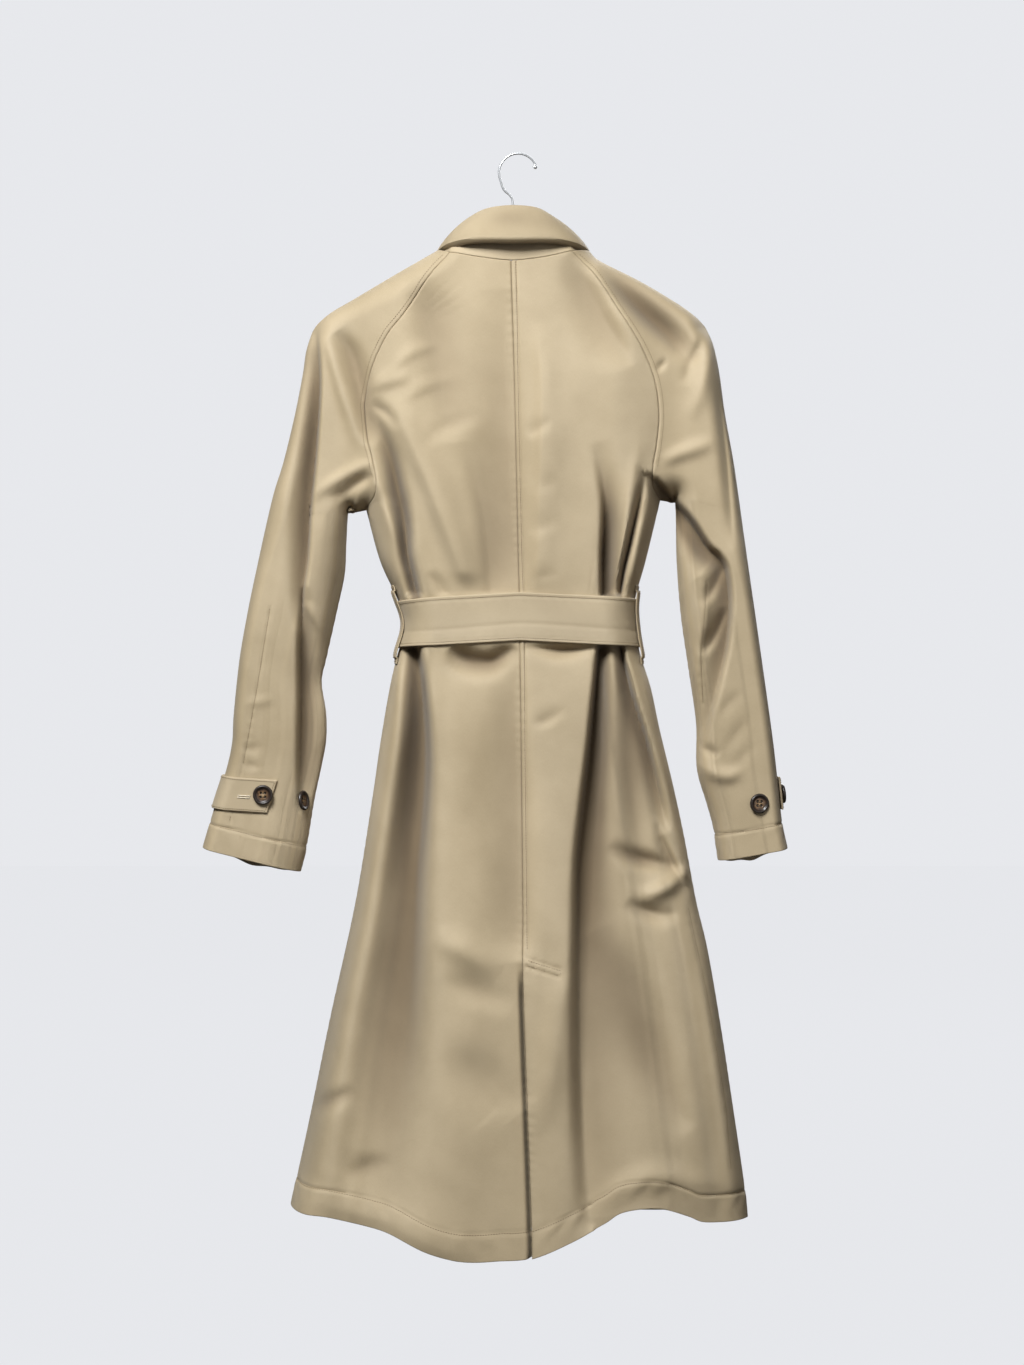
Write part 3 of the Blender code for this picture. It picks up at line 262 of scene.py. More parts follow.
# Folds of the back and of the back sleeve halves. Each point of a line: x, z, depth inwards, and how
# far the fold reaches to its left and to its right (below and above, on a line that runs to the right).
BACK_FOLDS = {
    # upper back
    "left waist valley": ((-166, -295, 0, 8, 6), (-155, -322, 9, 10, 7.5), (-144, -353, 19, 11, 8.5),
                          (-136, -389, 26, 11, 8.5), (-129, -426, 29, 10, 8), (-126, -463, 29, 9, 7),
                          (-119, -493, 27, 8, 6), (-112, -520, 25, 7, 5)),
    "left strip ridge": ((-173, -336, 0, 8, 8), (-163, -369, -3, 8, 7), (-150, -409, -5, 8, 6),
                         (-138, -442, -5, 7, 5), (-128, -476, -4, 6, 5), (-119, -515, -2, 5, 4)),
    "left blade ridge": ((-152, -285, 0, 12, 16), (-127, -319, -8, 12, 18), (-99, -381, -12, 12, 20),
                         (-70, -456, -11, 12, 18), (-55, -504, -5, 10, 16), (-51, -520, 0, 10, 16)),
    "left blade dimple": ((-167, -289, 0, 5, 6), (-155, -298, 6, 5, 7), (-143, -309, 4, 6, 7),
                          (-135, -322, 0, 6, 7)),
    "left blade light": ((-171, -278, 0, 6, 8), (-155, -269, -3, 7, 9), (-135, -264, -3, 8, 10),
                         (-121, -260, 0, 8, 9)),
    "left loin shade": ((-63, -325, 0, 10, 18), (-41, -403, 5, 10, 20), (-32, -470, 6, 10, 20),
                        (-29, -520, 3, 10, 18)),
    "left loin dimple": ((-101, -482, 0, 6, 7), (-90, -497, 4, 6, 8), (-81, -515, 3, 6, 8)),
    "left diagonal": ((-148, -262, 0, 5, 5), (-124, -237, -2.2, 7, 8), (-85, -221, 0, 6, 6)),
    "left diagonal two": ((-137, -295, 0, 6, 6), (-106, -273, -1.8, 7, 9), (-63, -260, 0, 7, 7)),
    "left diagonal three": ((-112, -343, 0, 8, 8), (-81, -318, 1.6, 9, 9), (-36, -302, 0, 8, 8)),
    "left yoke shade": ((-128, -159, 0, 14, 20), (-99, -192, 12, 22, 30), (-88, -235, 13, 24, 32),
                        (-81, -291, 9, 20, 28), (-74, -336, 0, 14, 18)),
    "centre hollow": ((-20, -162, 0, 34, 18), (-16, -269, 12, 40, 18), (-11, -381, 14, 38, 18),
                      (-5, -470, 12, 34, 16), (-2, -520, 6, 30, 14)),
    "centre light": ((22, -201, 0, 10, 16), (28, -257, -5, 9, 18), (28, -325, -6, 9, 20),
                     (26, -403, -5, 9, 20), (24, -493, -4, 9, 20), (23, -520, 0, 8, 16)),
    "right waist valley": ((88, -336, 0, 8, 16), (94, -369, 7, 6, 16), (98, -398, 16, 5, 15),
                           (98, -426, 26, 4, 15), (96, -459, 32, 3.4, 15), (96, -493, 32, 3.4, 14),
                           (96, -520, 28, 3.2, 12)),
    "right strip one": ((137, -331, 0, 9, 9), (127, -392, -4, 7, 6), (118, -454, -6, 6, 5),
                        (109, -515, -4, 5, 4)),
    "right thin crease": ((143, -369, 0, 4, 3), (137, -403, 13, 5, 3), (127, -448, 18, 5, 3),
                          (119, -484, 18, 5, 3), (115, -520, 15, 4, 3)),
    "right strip two": ((153, -369, 0, 5, 7), (142, -420, -4, 4, 7), (132, -470, -5, 4, 6),
                        (125, -517, -3, 4, 5)),
    "right blade hollow": ((54, -123, 0, 14, 14), (78, -161, 11, 28, 14), (96, -195, 12, 32, 12),
                           (112, -224, 8, 28, 11), (125, -251, 0, 16, 10)),
    "seam dent one": ((9, -329, 0, 5, 7), (22, -322, 2.2, 6, 9), (39, -308, 0, 6, 8)),
    "seam dent two": ((16, -389, 0, 7, 8), (31, -385, 1, 8, 11), (47, -378, 0, 8, 9)),
    "seam dent three": ((11, -438, 0, 7, 8), (26, -432, 1.5, 8, 12), (47, -422, 0, 8, 9)),
    "seam dent four": ((13, -491, 0, 6, 7), (29, -486, 1.8, 7, 10), (49, -485, 0, 6, 8)),
    # skirt
    "skirt left valley": ((-119, -560, 24, 10, 5), (-113, -591, 31, 14, 6.5), (-109, -633, 36, 18, 7.5),
                          (-107, -678, 38, 22, 8.5), (-108, -717, 38, 25, 9.5),
                          (-112, -773, 36, 30, 11), (-117, -829, 33, 34, 13), (-120, -908, 28, 38, 16),
                          (-126, -997, 24, 42, 20), (-135, -1087, 16, 42, 26), (-149, -1166, 8, 40, 28),
                          (-155, -1205, 4, 40, 28)),
    "skirt left strip": ((-135, -574, 0, 6, 6), (-134, -616, -4, 7, 8), (-136, -672, -6, 9, 10),
                         (-146, -740, -7, 11, 13), (-161, -829, -7, 14, 17), (-183, -953, -6, 18, 22),
                         (-202, -1065, -5, 20, 24), (-211, -1154, -3, 22, 24)),
    "skirt left side hollow": ((-173, -728, 0, 14, 14), (-191, -829, 10, 20, 20),
                               (-215, -941, 14, 24, 24), (-236, -1053, 13, 26, 26),
                               (-247, -1154, 7, 26, 26)),
    "skirt left low shade": ((-132, -852, 0, 26, 22), (-146, -941, 6, 30, 28), (-162, -1053, 6, 30, 28),
                             (-173, -1132, 0, 26, 24)),
    "skirt middle swell": ((-74, -591, 0, 26, 28), (-74, -672, -8, 26, 34), (-79, -773, -11, 28, 40),
                           (-81, -885, -11, 32, 44), (-74, -1009, -9, 36, 46), (-76, -1132, -7, 40, 46),
                           (-76, -1216, -5, 40, 46)),
    "skirt seam hollow": ((-7, -560, 0, 22, 14), (-5, -650, 9, 28, 14), (-2, -762, 12, 32, 16),
                          (-1, -874, 10, 32, 16), (1, -919, 0, 22, 12)),
    "scoop under the belt": ((-76, -565, 0, 8, 8), (-61, -578, 16, 14, 10), (-34, -583, 18, 14, 10),
                             (-14, -574, 10, 10, 9), (-2, -565, 0, 8, 8)),
    "right scoop": ((13, -566, 3, 9, 6), (49, -569, 11, 10, 7), (83, -566, 4, 8, 6)),
    "skirt dent": ((13, -654, 0, 6, 6), (32, -650, 2.4, 6, 9), (56, -634, 0, 6, 8)),
    "skirt right valley": ((93, -560, 24, 3.4, 10), (88, -616, 34, 3.8, 14), (82, -683, 40, 4.2, 19),
                           (75, -750, 40, 5, 24), (70, -811, 38, 6, 32), (69, -885, 35, 7, 44),
                           (69, -975, 31, 8, 56), (72, -1076, 26, 10, 64), (78, -1166, 16, 12, 60),
                           (83, -1205, 9, 14, 56)),
    "skirt right field": ((112, -583, 0, 10, 10), (121, -650, 11, 15, 12), (128, -717, 13, 16, 13),
                          (137, -796, 6, 16, 14), (143, -852, 0, 12, 12)),
    "skirt right crease": ((115, -562, 18, 9, 3.2), (122, -594, 24, 10, 3.2), (130, -625, 25, 12, 3.2),
                           (146, -676, 23, 14, 3.4), (156, -718, 17, 15, 4.5), (164, -756, 9, 14, 6),
                           (168, -779, 0, 12, 6)),
    "skirt right band": ((137, -577, 0, 5, 6), (150, -627, -4, 6, 7), (164, -689, -4, 7, 8),
                         (177, -762, -4, 8, 9), (190, -829, -3, 9, 10), (204, -908, 0, 9, 10)),
    "skirt right low crease": ((156, -766, 0, 5, 3), (166, -790, 8, 8, 3.2), (177, -814, 9, 9, 3.5),
                               (186, -834, 5, 8, 4), (193, -852, 0, 6, 5)),
    "skirt right trough": ((101, -791, 0, 9, 9), (128, -805, 10, 9, 11), (150, -811, 12, 8, 10),
                           (170, -816, 6, 7, 8), (181, -818, 0, 5, 5)),
    "skirt right lobe": ((137, -849, 0, 9, 9), (161, -842, -9, 10, 9), (184, -827, -8, 10, 8),
                         (197, -814, 0, 8, 6)),
    "skirt right low trough": ((121, -854, 0, 8, 8), (142, -865, 9, 10, 9), (164, -871, 6, 10, 9),
                               (184, -867, 0, 8, 8)),
    "skirt right swell": ((153, -885, 0, 20, 26), (177, -986, -7, 26, 28), (197, -1087, -8, 28, 28),
                          (204, -1177, -6, 28, 28)),
    "skirt side stripe": ((204, -908, 0, 8, 10), (221, -1009, -6, 9, 10), (234, -1098, -6, 9, 10),
                          (243, -1177, -3, 9, 8)),
    "skirt left hem kick": ((-245, -1184, 0, 14, 20), (-194, -1195, -5, 16, 24),
                            (-138, -1210, -6, 16, 26), (-88, -1233, -4, 16, 26), (-43, -1244, 0, 14, 22)),
    "skirt middle dip": ((-99, -1031, 0, 30, 24), (-54, -1042, 6, 34, 28), (-15, -1065, 5, 30, 26),
                         (2, -1087, 0, 24, 20)),
    "skirt left dent": ((-236, -1098, 0, 8, 7), (-213, -1080, 6, 10, 9), (-182, -1065, 0, 9, 9)),
    "skirt left low dent": ((-193, -1166, 0, 10, 9), (-171, -1152, 4, 12, 11), (-137, -1143, 0, 10, 10)),
    "skirt soft rise": ((-97, -891, 0, 14, 14), (-63, -905, -6, 14, 16), (-20, -932, 0, 12, 14)),
    "skirt soft dip": ((-88, -936, 0, 14, 14), (-47, -950, 6, 16, 16), (-7, -970, 0, 12, 12)),
    "skirt low swirl": ((24, -1110, 0, 12, 12), (38, -1031, -4, 14, 16), (47, -964, -4, 12, 14),
                        (54, -930, 0, 10, 12)),
    "skirt right low hollow": ((90, -885, 0, 22, 22), (125, -947, 10, 28, 28), (150, -1020, 13, 30, 26),
                               (177, -1087, 6, 20, 14), (197, -1110, 0, 12, 8)),
    "skirt right hem rise": ((83, -1201, 0, 12, 10), (116, -1172, -5, 14, 12), (159, -1161, -6, 14, 14),
                             (204, -1170, -3, 12, 12), (238, -1177, 0, 10, 10)),
    # sleeves
    "left fold above": ((-231, -204, 0, 10, 3), (-229, -225, 10, 13, 3), (-227, -262, 19, 16, 3),
                        (-229, -310, 25, 17, 3), (-233, -361, 26, 17, 3), (-238, -412, 24, 16, 3),
                        (-241, -463, 21, 14, 3), (-246, -503, 15, 10, 3), (-249, -528, 6, 8, 4),
                        (-252, -548, 0, 6, 5)),
    "left fold below": ((-246, -497, 0, 3, 8), (-247, -528, 13, 3, 12), (-249, -571, 21, 3, 16),
                        (-249, -628, 23, 3, 19), (-250, -679, 21, 3, 20), (-250, -724, 14, 3.5, 18),
                        (-249, -758, 0, 4, 12)),
    "left tip ridge": ((-218, -211, 0, 6, 7), (-210, -242, -5, 6, 10), (-196, -288, -6, 8, 14),
                       (-181, -324, -3, 10, 14), (-175, -342, 0, 8, 8)),
    "left tip shade": ((-206, -208, 0, 8, 8), (-190, -233, 11, 11, 11), (-179, -271, 13, 12, 12),
                       (-171, -316, 10, 11, 11), (-167, -340, 0, 8, 8)),
    "left pull": ((-163, -359, 0, 5, 5), (-179, -363, -5, 6, 6), (-202, -375, -6, 6, 7),
                  (-227, -391, -2, 6, 7), (-240, -401, 0, 6, 6)),
    "left pull shade": ((-161, -372, 0, 5, 5), (-177, -378, 7, 6, 6), (-197, -390, 5, 6, 7),
                        (-218, -401, 0, 6, 6)),
    "left inner shade": ((-192, -418, 0, 12, 6), (-197, -469, 9, 13, 6), (-205, -526, 10, 13, 6),
                         (-214, -582, 8, 13, 6), (-221, -628, 0, 12, 6)),
    "left elbow crease": ((-247, -514, 0, 4, 5), (-237, -526, -3, 5, 7), (-224, -548, -2, 5, 8),
                          (-215, -571, 0, 5, 7)),
    "left arm crease one": ((-315, -632, 0, 6, 6), (-297, -630, -1.4, 6, 6), (-274, -623, 0, 6, 6)),
    "left arm crease two": ((-315, -686, 0, 5, 6), (-304, -683, 1.3, 6, 6), (-286, -680, 0, 6, 6)),
    "left arm crease three": ((-317, -705, 0, 5, 5), (-305, -702, 1.2, 5, 5), (-290, -705, 0, 5, 5)),
    "right layer": ((147, -372, 6, 10, 3), (163, -385, 20, 16, 3), (181, -403, 27, 20, 3),
                    (199, -426, 28, 22, 3), (216, -452, 27, 22, 3), (229, -464, 24, 20, 3),
                    (237, -480, 22, 19, 3.2), (241, -514, 20, 19, 3.2), (238, -560, 18, 18, 3.2),
                    (232, -591, 14, 16, 3.2), (224, -623, 10, 14, 3.6), (215, -656, 7, 11, 4),
                    (208, -682, 3, 8, 5), (206, -703, 0, 6, 6)),
    "right inner ridge": ((213, -492, 0, 7, 6), (211, -537, -4, 8, 6), (204, -582, -4, 7, 6),
                          (200, -628, -3, 6, 6), (202, -673, 0, 6, 6)),
    "right triangle one": ((207, -519, 0, 5, 6), (219, -505, 6, 5, 9), (231, -483, 4, 4, 9),
                           (237, -471, 0, 4, 6)),
    "right triangle two": ((208, -577, 0, 5, 6), (220, -560, 7, 5, 10), (233, -535, 4, 4, 9),
                           (239, -521, 0, 4, 6)),
    "right bump": ((204, -696, 0, 7, 7), (220, -709, -5, 8, 8), (240, -714, -5, 8, 8),
                   (257, -705, 0, 8, 8)),
    "right bump shade": ((206, -675, 0, 5, 6), (220, -686, 5, 6, 6), (231, -691, 0, 5, 5)),
    "right tip pull": ((211, -211, 0, 5, 6), (204, -229, 5, 6, 7), (195, -249, 4, 7, 8),
                       (188, -270, 0, 7, 8)),
    "right tip ridge": ((221, -220, 0, 6, 6), (215, -248, -3, 6, 7), (206, -282, -3, 8, 9),
                        (195, -310, 0, 8, 9)),
    "right seam crease": ((155, -256, 0, 3, 4), (162, -248, 3, 4, 4), (170, -240, 0, 3, 4)),
    "right arm light": ((161, -358, 0, 7, 7), (179, -350, -4, 7, 8), (206, -340, -4, 8, 9),
                        (224, -333, 0, 8, 8)),
    "right shoulder shade": ((91, -134, 0, 9, 12), (118, -160, 17, 14, 16), (147, -187, 22, 15, 17),
                             (177, -216, 16, 14, 16), (199, -247, 0, 9, 12)),
    "right outer fold": ((224, -256, 0, 6, 5), (231, -299, 4, 7, 4), (237, -356, 5, 8, 4),
                         (241, -412, 4, 8, 4), (243, -458, 0, 7, 5)),
    "right arm crease one": ((256, -616, 0, 6, 6), (240, -632, 1.6, 7, 8), (224, -655, 0, 7, 7)),
    "right arm crease two": ((265, -646, 0, 6, 6), (249, -666, 1.4, 7, 8), (231, -691, 0, 7, 7)),
    "right arm crease three": ((272, -675, 0, 6, 6), (256, -693, 1.2, 7, 7), (245, -709, 0, 6, 6)),
}
FRONT_FOLDS = {
    "left chest valley": ((-150, -300, 0, 16, 20), (-118, -420, 10, 14, 18), (-104, -512, 8, 8, 14)),
    "right chest valley": ((140, -300, 0, 20, 16), (112, -420, 10, 18, 14), (100, -512, 8, 14, 8)),
    "left skirt valley": ((-100, -572, 10, 14, 8), (-100, -680, 16, 22, 10), (-118, -860, 12, 26, 14),
                          (-140, -1100, 6, 30, 20), (-145, -1230, 4, 30, 20)),
    "right skirt valley": ((98, -572, 10, 8, 14), (106, -700, 16, 10, 22), (120, -880, 11, 14, 26),
                           (146, -1230, 5, 20, 30)),
    "left skirt swell": ((-60, -600, 0, 26, 26), (-66, -800, -6, 34, 34), (-78, -1200, -5, 40, 40)),
    "right skirt swell": ((62, -600, 0, 26, 26), (70, -820, -6, 34, 34), (80, -1200, -5, 40, 40)),
    "left sleeve fold": ((-228, -240, 0, 10, 12), (-240, -400, 9, 8, 14), (-262, -600, 0, 12, 14)),
    "right sleeve fold": ((220, -240, 0, 12, 10), (224, -420, 9, 14, 8), (250, -600, 0, 14, 12)),
    "left elbow crease": ((-230, -540, 0, 8, 8), (-262, -552, 6, 8, 8), (-292, -540, 0, 8, 8)),
    "right elbow crease": ((205, -545, 0, 8, 8), (236, -556, 6, 8, 8), (262, -546, 0, 8, 8)),
}


def smooth(value):
    """Ease from 0 to 1 with level ends: 3v^2 - 2v^3."""
    value = np.clip(value, 0.0, 1.0)
    return value * value * (3.0 - 2.0 * value)


def quarter(value):
    """Height of a quarter circle at a share of its radius from the edge."""
    return np.sqrt(1.0 - (1.0 - np.clip(value, 0.0, 1.0)) ** 2)


def bell(distance, reach):
    """Bell that is 1 at no distance: exp(-(distance / reach)^2)."""
    return np.exp(-(distance / reach) ** 2)


def lengths(path):
    """Distance along a path at each of its points."""
    return np.concatenate([[0.0], np.cumsum(np.linalg.norm(np.diff(path, axis=0), axis=1))])


def at_length(path, wanted):
    """Points of a path at the wanted distances along it."""
    along = lengths(path)
    return np.stack([np.interp(wanted, along, column) for column in path.T], axis=-1)


def at_height(path, z):
    """x of a downward path of (x, z) at given heights."""
    return np.interp(-np.asarray(z, float), -path[:, 1], path[:, 0])


def nearest(path, x, z):
    """Least distance from points to a path, the sign of their side, and the share of the path there."""
    start, step = path[:-1, :2], np.diff(path[:, :2], axis=0)
    px, pz = x[:, None] - start[:, 0], z[:, None] - start[:, 1]
    share = np.clip((px * step[:, 0] + pz * step[:, 1]) / (step ** 2).sum(1), 0, 1)
    dx, dz = px - share * step[:, 0], pz - share * step[:, 1]
    square = dx ** 2 + dz ** 2
    near = square.argmin(1)
    row = np.arange(len(x))
    side = step[near, 0] * dz[row, near] - step[near, 1] * dx[row, near]
    return np.sqrt(square[row, near]), side, (near + share[row, near]) / len(step)


EDGES = {name: curve_through(line) for name, line in OUTLINE.items()}
CHAINS = [EDGES["shoulder left"], EDGES["shoulder right"], EDGES["arm left"], EDGES["arm right"],
          np.vstack([EDGES["inside left"][::-1], EDGES["side left"][1:]]),
          np.vstack([EDGES["inside right"][::-1], EDGES["side right"][1:]])]
WEDGES = (0.0, 0.0, 0.0, 0.0, 0.34, 0.56)
NARROWEST = 1.5
# Narrow folds count for more in the hollows that set the painted fold shade, which is full 23 mm deep.
NARROW_FOLD = 24.0
DARK_DEPTH = 23.0
SLEEVE_TURNS = (1.0, 1.0, 0.7, 0.6, 2.1, 1.2)


def folded(table, x, z):
    """Sums of folds inward and outward, and of the hollows, where narrow folds count for more: across each
    line the depth falls off as exp(-(distance / reach)^2), with its own reach on either side, and depth and
    reach run evenly between the points of the line."""
    inward, outward, hollow = np.zeros_like(x), np.zeros_like(x), np.zeros_like(x)
    for points in table.values():
        line = curve_through(points, 6)
        wide = 2.6 * line[:, 3:].max()
        low, high = line[:, :2].min(0) - wide, line[:, :2].max(0) + wide
        near = np.nonzero((x > low[0]) & (x < high[0]) & (z > low[1]) & (z < high[1]))[0]
        if len(near) == 0:
            continue
        away, side, share = nearest(line, x[near], z[near])
        depth, left, right = (np.interp(share, np.linspace(0, 1, len(line)), line[:, k]) for k in (2, 3, 4))
        dip = depth * bell(away, np.maximum(np.where(side < 0, left, right), NARROWEST))
        inward[near] += np.maximum(dip, 0.0)
        outward[near] += np.minimum(dip, 0.0)
        hollow[near] += np.maximum(dip, 0.0) * np.minimum(1.0, NARROW_FOLD / np.maximum(left, right))
    return inward, outward, hollow


def depth_at(table, column, z):
    """Depth at a height: the table run evenly between its rows and averaged over 100 mm, so that no kink
    shows."""
    rows = np.array(table, float)
    fine = np.arange(0.0, 1400.0, 4.0)
    weight = np.hanning(27)[1:-1]
    even = np.pad(np.interp(fine, -rows[:, 0], rows[:, column]), 12, "edge")
    even = np.convolve(even, weight / weight.sum(), "valid")
    return np.interp(-z, fine, even)


def sunk(points, facing):
    """Share from 0 to 1 of how deep each point of a grid lies in a fold, for the shade painted into its
    colour.
    """
    x, z = points[..., 0].ravel(), points[..., 2].ravel()
    hollow = folded(BACK_FOLDS if facing < 0 else FRONT_FOLDS, x, z)[2]
    return smooth(hollow / DARK_DEPTH).reshape(points.shape[:2])


def on_cloth(line, facing, sleeve=False, out=0.7, folds=True):
    """Points on the cloth at a line of (x, z), moved out along its normals, which come from its slopes over
    4 mm."""
    x, z = np.atleast_2d(np.array(line, float)).T
    y = hang(x, z, facing, sleeve, folds)
    slope_x = (hang(x + 2, z, facing, sleeve, folds) - hang(x - 2, z, facing, sleeve, folds)) / 4
    slope_z = (hang(x, z + 2, facing, sleeve, folds) - hang(x, z - 2, facing, sleeve, folds)) / 4
    normal = unit(facing * np.stack([-slope_x, np.ones_like(x), -slope_z], 1))
    return np.stack([x, y, z], 1) + normal * out, normal


def even_line(points, step=2.0):
    """Straight runs between the given points, with a point about every step."""
    points = np.array(points, float)
    return at_length(points, np.linspace(0, lengths(points)[-1], int(lengths(points)[-1] / step) + 2))


def limp(x, z):
    """Slight unevenness of limp cloth: three crossed pairs of waves, 50 to 450 mm long, most of them bent by
    slower ones."""
    return (0.55 * np.sin(x / 15 + 1.6 * np.sin(z / 47)) * np.sin(z / 39 + 1.2 * np.sin(x / 33))
            + 0.4 * np.sin(x / 9 + z / 26 + 1.5 * np.sin(z / 31)) * np.sin(z / 23 - x / 41)
            + 0.8 * np.sin(x / 27 - z / 83 + 0.8) * np.sin(z / 71 + 0.5))


def forward_of(z):
    """How far the sleeves swing to the front: eased from nothing 420 mm down to 14 mm 800 mm down."""
    return 14.0 * smooth((-420 - z) / 380)


def round_of(cap, z):
    """Radius over which the form turns at the outline: a share of its depth, and no more than 40 mm down to
    the waist and 30 mm on the skirt."""
    return np.minimum(cap * FLATNESS, 40.0 - 10.0 * smooth((SKIRT_TOP - z) / 120))


def hang(x, z, facing, sleeve=False, folds=True):
    """y of the cloth's middle layer: the depth of that height times one quarter circle for each line of the
    outline, which the skirt's sides near on an even slope, less the folds, which die out near the outline
    and under the belt. facing is -1 behind."""
    shape = np.shape(x)
    x, z = np.ravel(np.asarray(x, float)), np.ravel(np.asarray(z, float))
    column = 1 if facing < 0 else 2
    body, arm = depth_at(BODY_DEPTH, column, z), depth_at(SLEEVE_DEPTH, column, z)
    share, below = smooth((np.abs(x + 6) - 110) / 90), smooth((ARMPIT - z) / 110)
    cap = body + (arm - body) * (share * (1 - below) + (below if sleeve else 0.0))
    rise, fade = np.ones_like(x), np.ones_like(x)
    slant = 0.0 if sleeve else smooth((SKIRT_TOP - z) / 200)
    for path, wedge, turn in zip(CHAINS, WEDGES, SLEEVE_TURNS):
        away = nearest(path, x, z)[0]
        rise *= quarter(away / (round_of(cap, z) * (1 + (turn - 1) * below if sleeve else 1.0)))
        fade *= quarter(away / EDGE_FADE)
        rise *= 1 - wedge * slant * (1 - smooth(away / 165))
    table = {} if not folds else BACK_FOLDS if facing < 0 else FRONT_FOLDS
    inward, outward, _ = folded(table, x, z)
    if folds:
        inward = inward + LIMPNESS * limp(x, z)
    if not sleeve:
        from_belt = np.abs(z - BELT_MIDDLE)
        inward = inward * smooth((from_belt - 24) / 8)
        outward = outward * smooth((from_belt - 31) / 26)
    y = facing * (cap * rise - (inward + outward) * fade) + (forward_of(z) if sleeve else 0.0)
    return y.reshape(shape)


def eased(count, start=0.12, pull=0.5):
    """Shares from 0 to 1: they grow as the square of the step at first, and are closer again at the end."""
    t = np.linspace(0, 1, count)
    share = (np.sqrt(t ** 2 + start ** 2) - start) / (np.sqrt(1 + start ** 2) - start)
    return 1 - ((1 - share) * (1 - pull) + pull * (1 - share) ** 2)


SHARES = np.linspace(0, 1, 96)
SEAM_ROWS = len(SHARES)


def middle_heights(step):
    """Heights of the body's rows at the middle: by share of the raglan seam, then evenly to the hem."""
    count = int(round((SEAM_END - HEM_LEVEL) / step))
    return np.concatenate([NECK_LEVEL + (SEAM_END - NECK_LEVEL) * SHARES,
                           np.linspace(SEAM_END, HEM_LEVEL, count + 1)[1:]])


def side_ends(side, heights, drop=(0.0, 0.0)):
    """Side ends of the body's rows: down the raglan seam, then down the side."""
    seam, edge = curve_through(RAGLAN[side]), EDGES["side " + side]
    z = seam[0, 1] + (seam[-1, 1] - seam[0, 1]) * SHARES
    upper = np.stack([at_height(seam, z), z], 1) + np.outer((1 - SHARES) ** 2, drop)
    levels = np.array(LEVELS, float)
    lower_z = np.interp(-heights[SEAM_ROWS:], -levels[:, 0], levels[:, 1 if side == "left" else 2])
    return np.vstack([upper, np.stack([at_height(edge, lower_z), lower_z], 1)])


def body_grid(ends, middle_x, heights, columns, neck, hem, facing, neck_drop=0.0):
    """Points of a body panel: straight rows from the side to the middle, eased onto the neck and hem lines,
    and then given their depth."""
    z = heights + neck_drop * (1 - smooth((NECK_LEVEL - heights) / 184.0))
    middle = np.stack([middle_x(z), z], 1)
    flat = ends[:, None] * (1 - columns)[None, :, None] + middle[:, None] * columns[None, :, None]
    down = np.arange(len(z)) / SEAM_ROWS
    for row, line, ease in ((0, neck, 1 - smooth(down / 0.33)), (-1, hem, smooth((-790 - z) / 456))):
        line = curve_through(line)
        target = np.interp(flat[row, :, 0], line[:, 0], line[:, 1])
        flat[:, :, 1] += ease[:, None] * (target - flat[row, :, 1])[None, :]
    y = hang(flat[..., 0], flat[..., 1], facing)
    y[SEAM_ROWS - 1:, 0] = 0.0
    return np.stack([flat[..., 0], y, flat[..., 1]], axis=-1)


def from_edge(points, axis, end):
    """Distance of each point of a grid from one edge, along its own row (axis 1) or column (axis 0)."""
    steps = np.linalg.norm(np.diff(points, axis=axis), axis=2)
    along = np.concatenate([np.zeros_like(np.take(steps, [0], axis=axis)), np.cumsum(steps, axis=axis)],
                           axis=axis)
    return along if end == 0 else np.take(along, [-1], axis=axis) - along


def out_of(points, sign, wrap=False):
    """Unit normals of a grid, turned so that their mean along the sign vector is positive."""
    along = (np.roll(points, -1, 1) - np.roll(points, 1, 1)) if wrap else np.gradient(points, axis=1)
    normal = unit(np.cross(along, np.gradient(points, axis=0)))
    toward = np.sum(normal * sign, axis=-1).mean()
    return normal if toward > 0 else -normal


def rimmed(points, steps=(0.3, 0.9, 1.8), wrap=False):
    """The grid with extra rows and columns close to its edges, where the cloth rolls over."""
    for axis in ((0,) if wrap else (0, 1)):
        for end in (0, -1):
            edge = np.take(points, [end], axis=axis)
            inner = np.take(points, [1 if end == 0 else -2], axis=axis)
            step = inner - edge
            reach = np.maximum(np.linalg.norm(step, axis=2, keepdims=True), 1e-6)
            extra = [edge + step * np.minimum(s / reach, (k + 1) / (len(steps) + 1.5))
                     for k, s in enumerate(steps)]
            rest = np.delete(points, 0 if end == 0 else -1, axis=axis)
            parts = [edge] + extra + [rest] if end == 0 else [rest] + extra[::-1] + [edge]
            points = np.concatenate(parts, axis=axis)
    return points


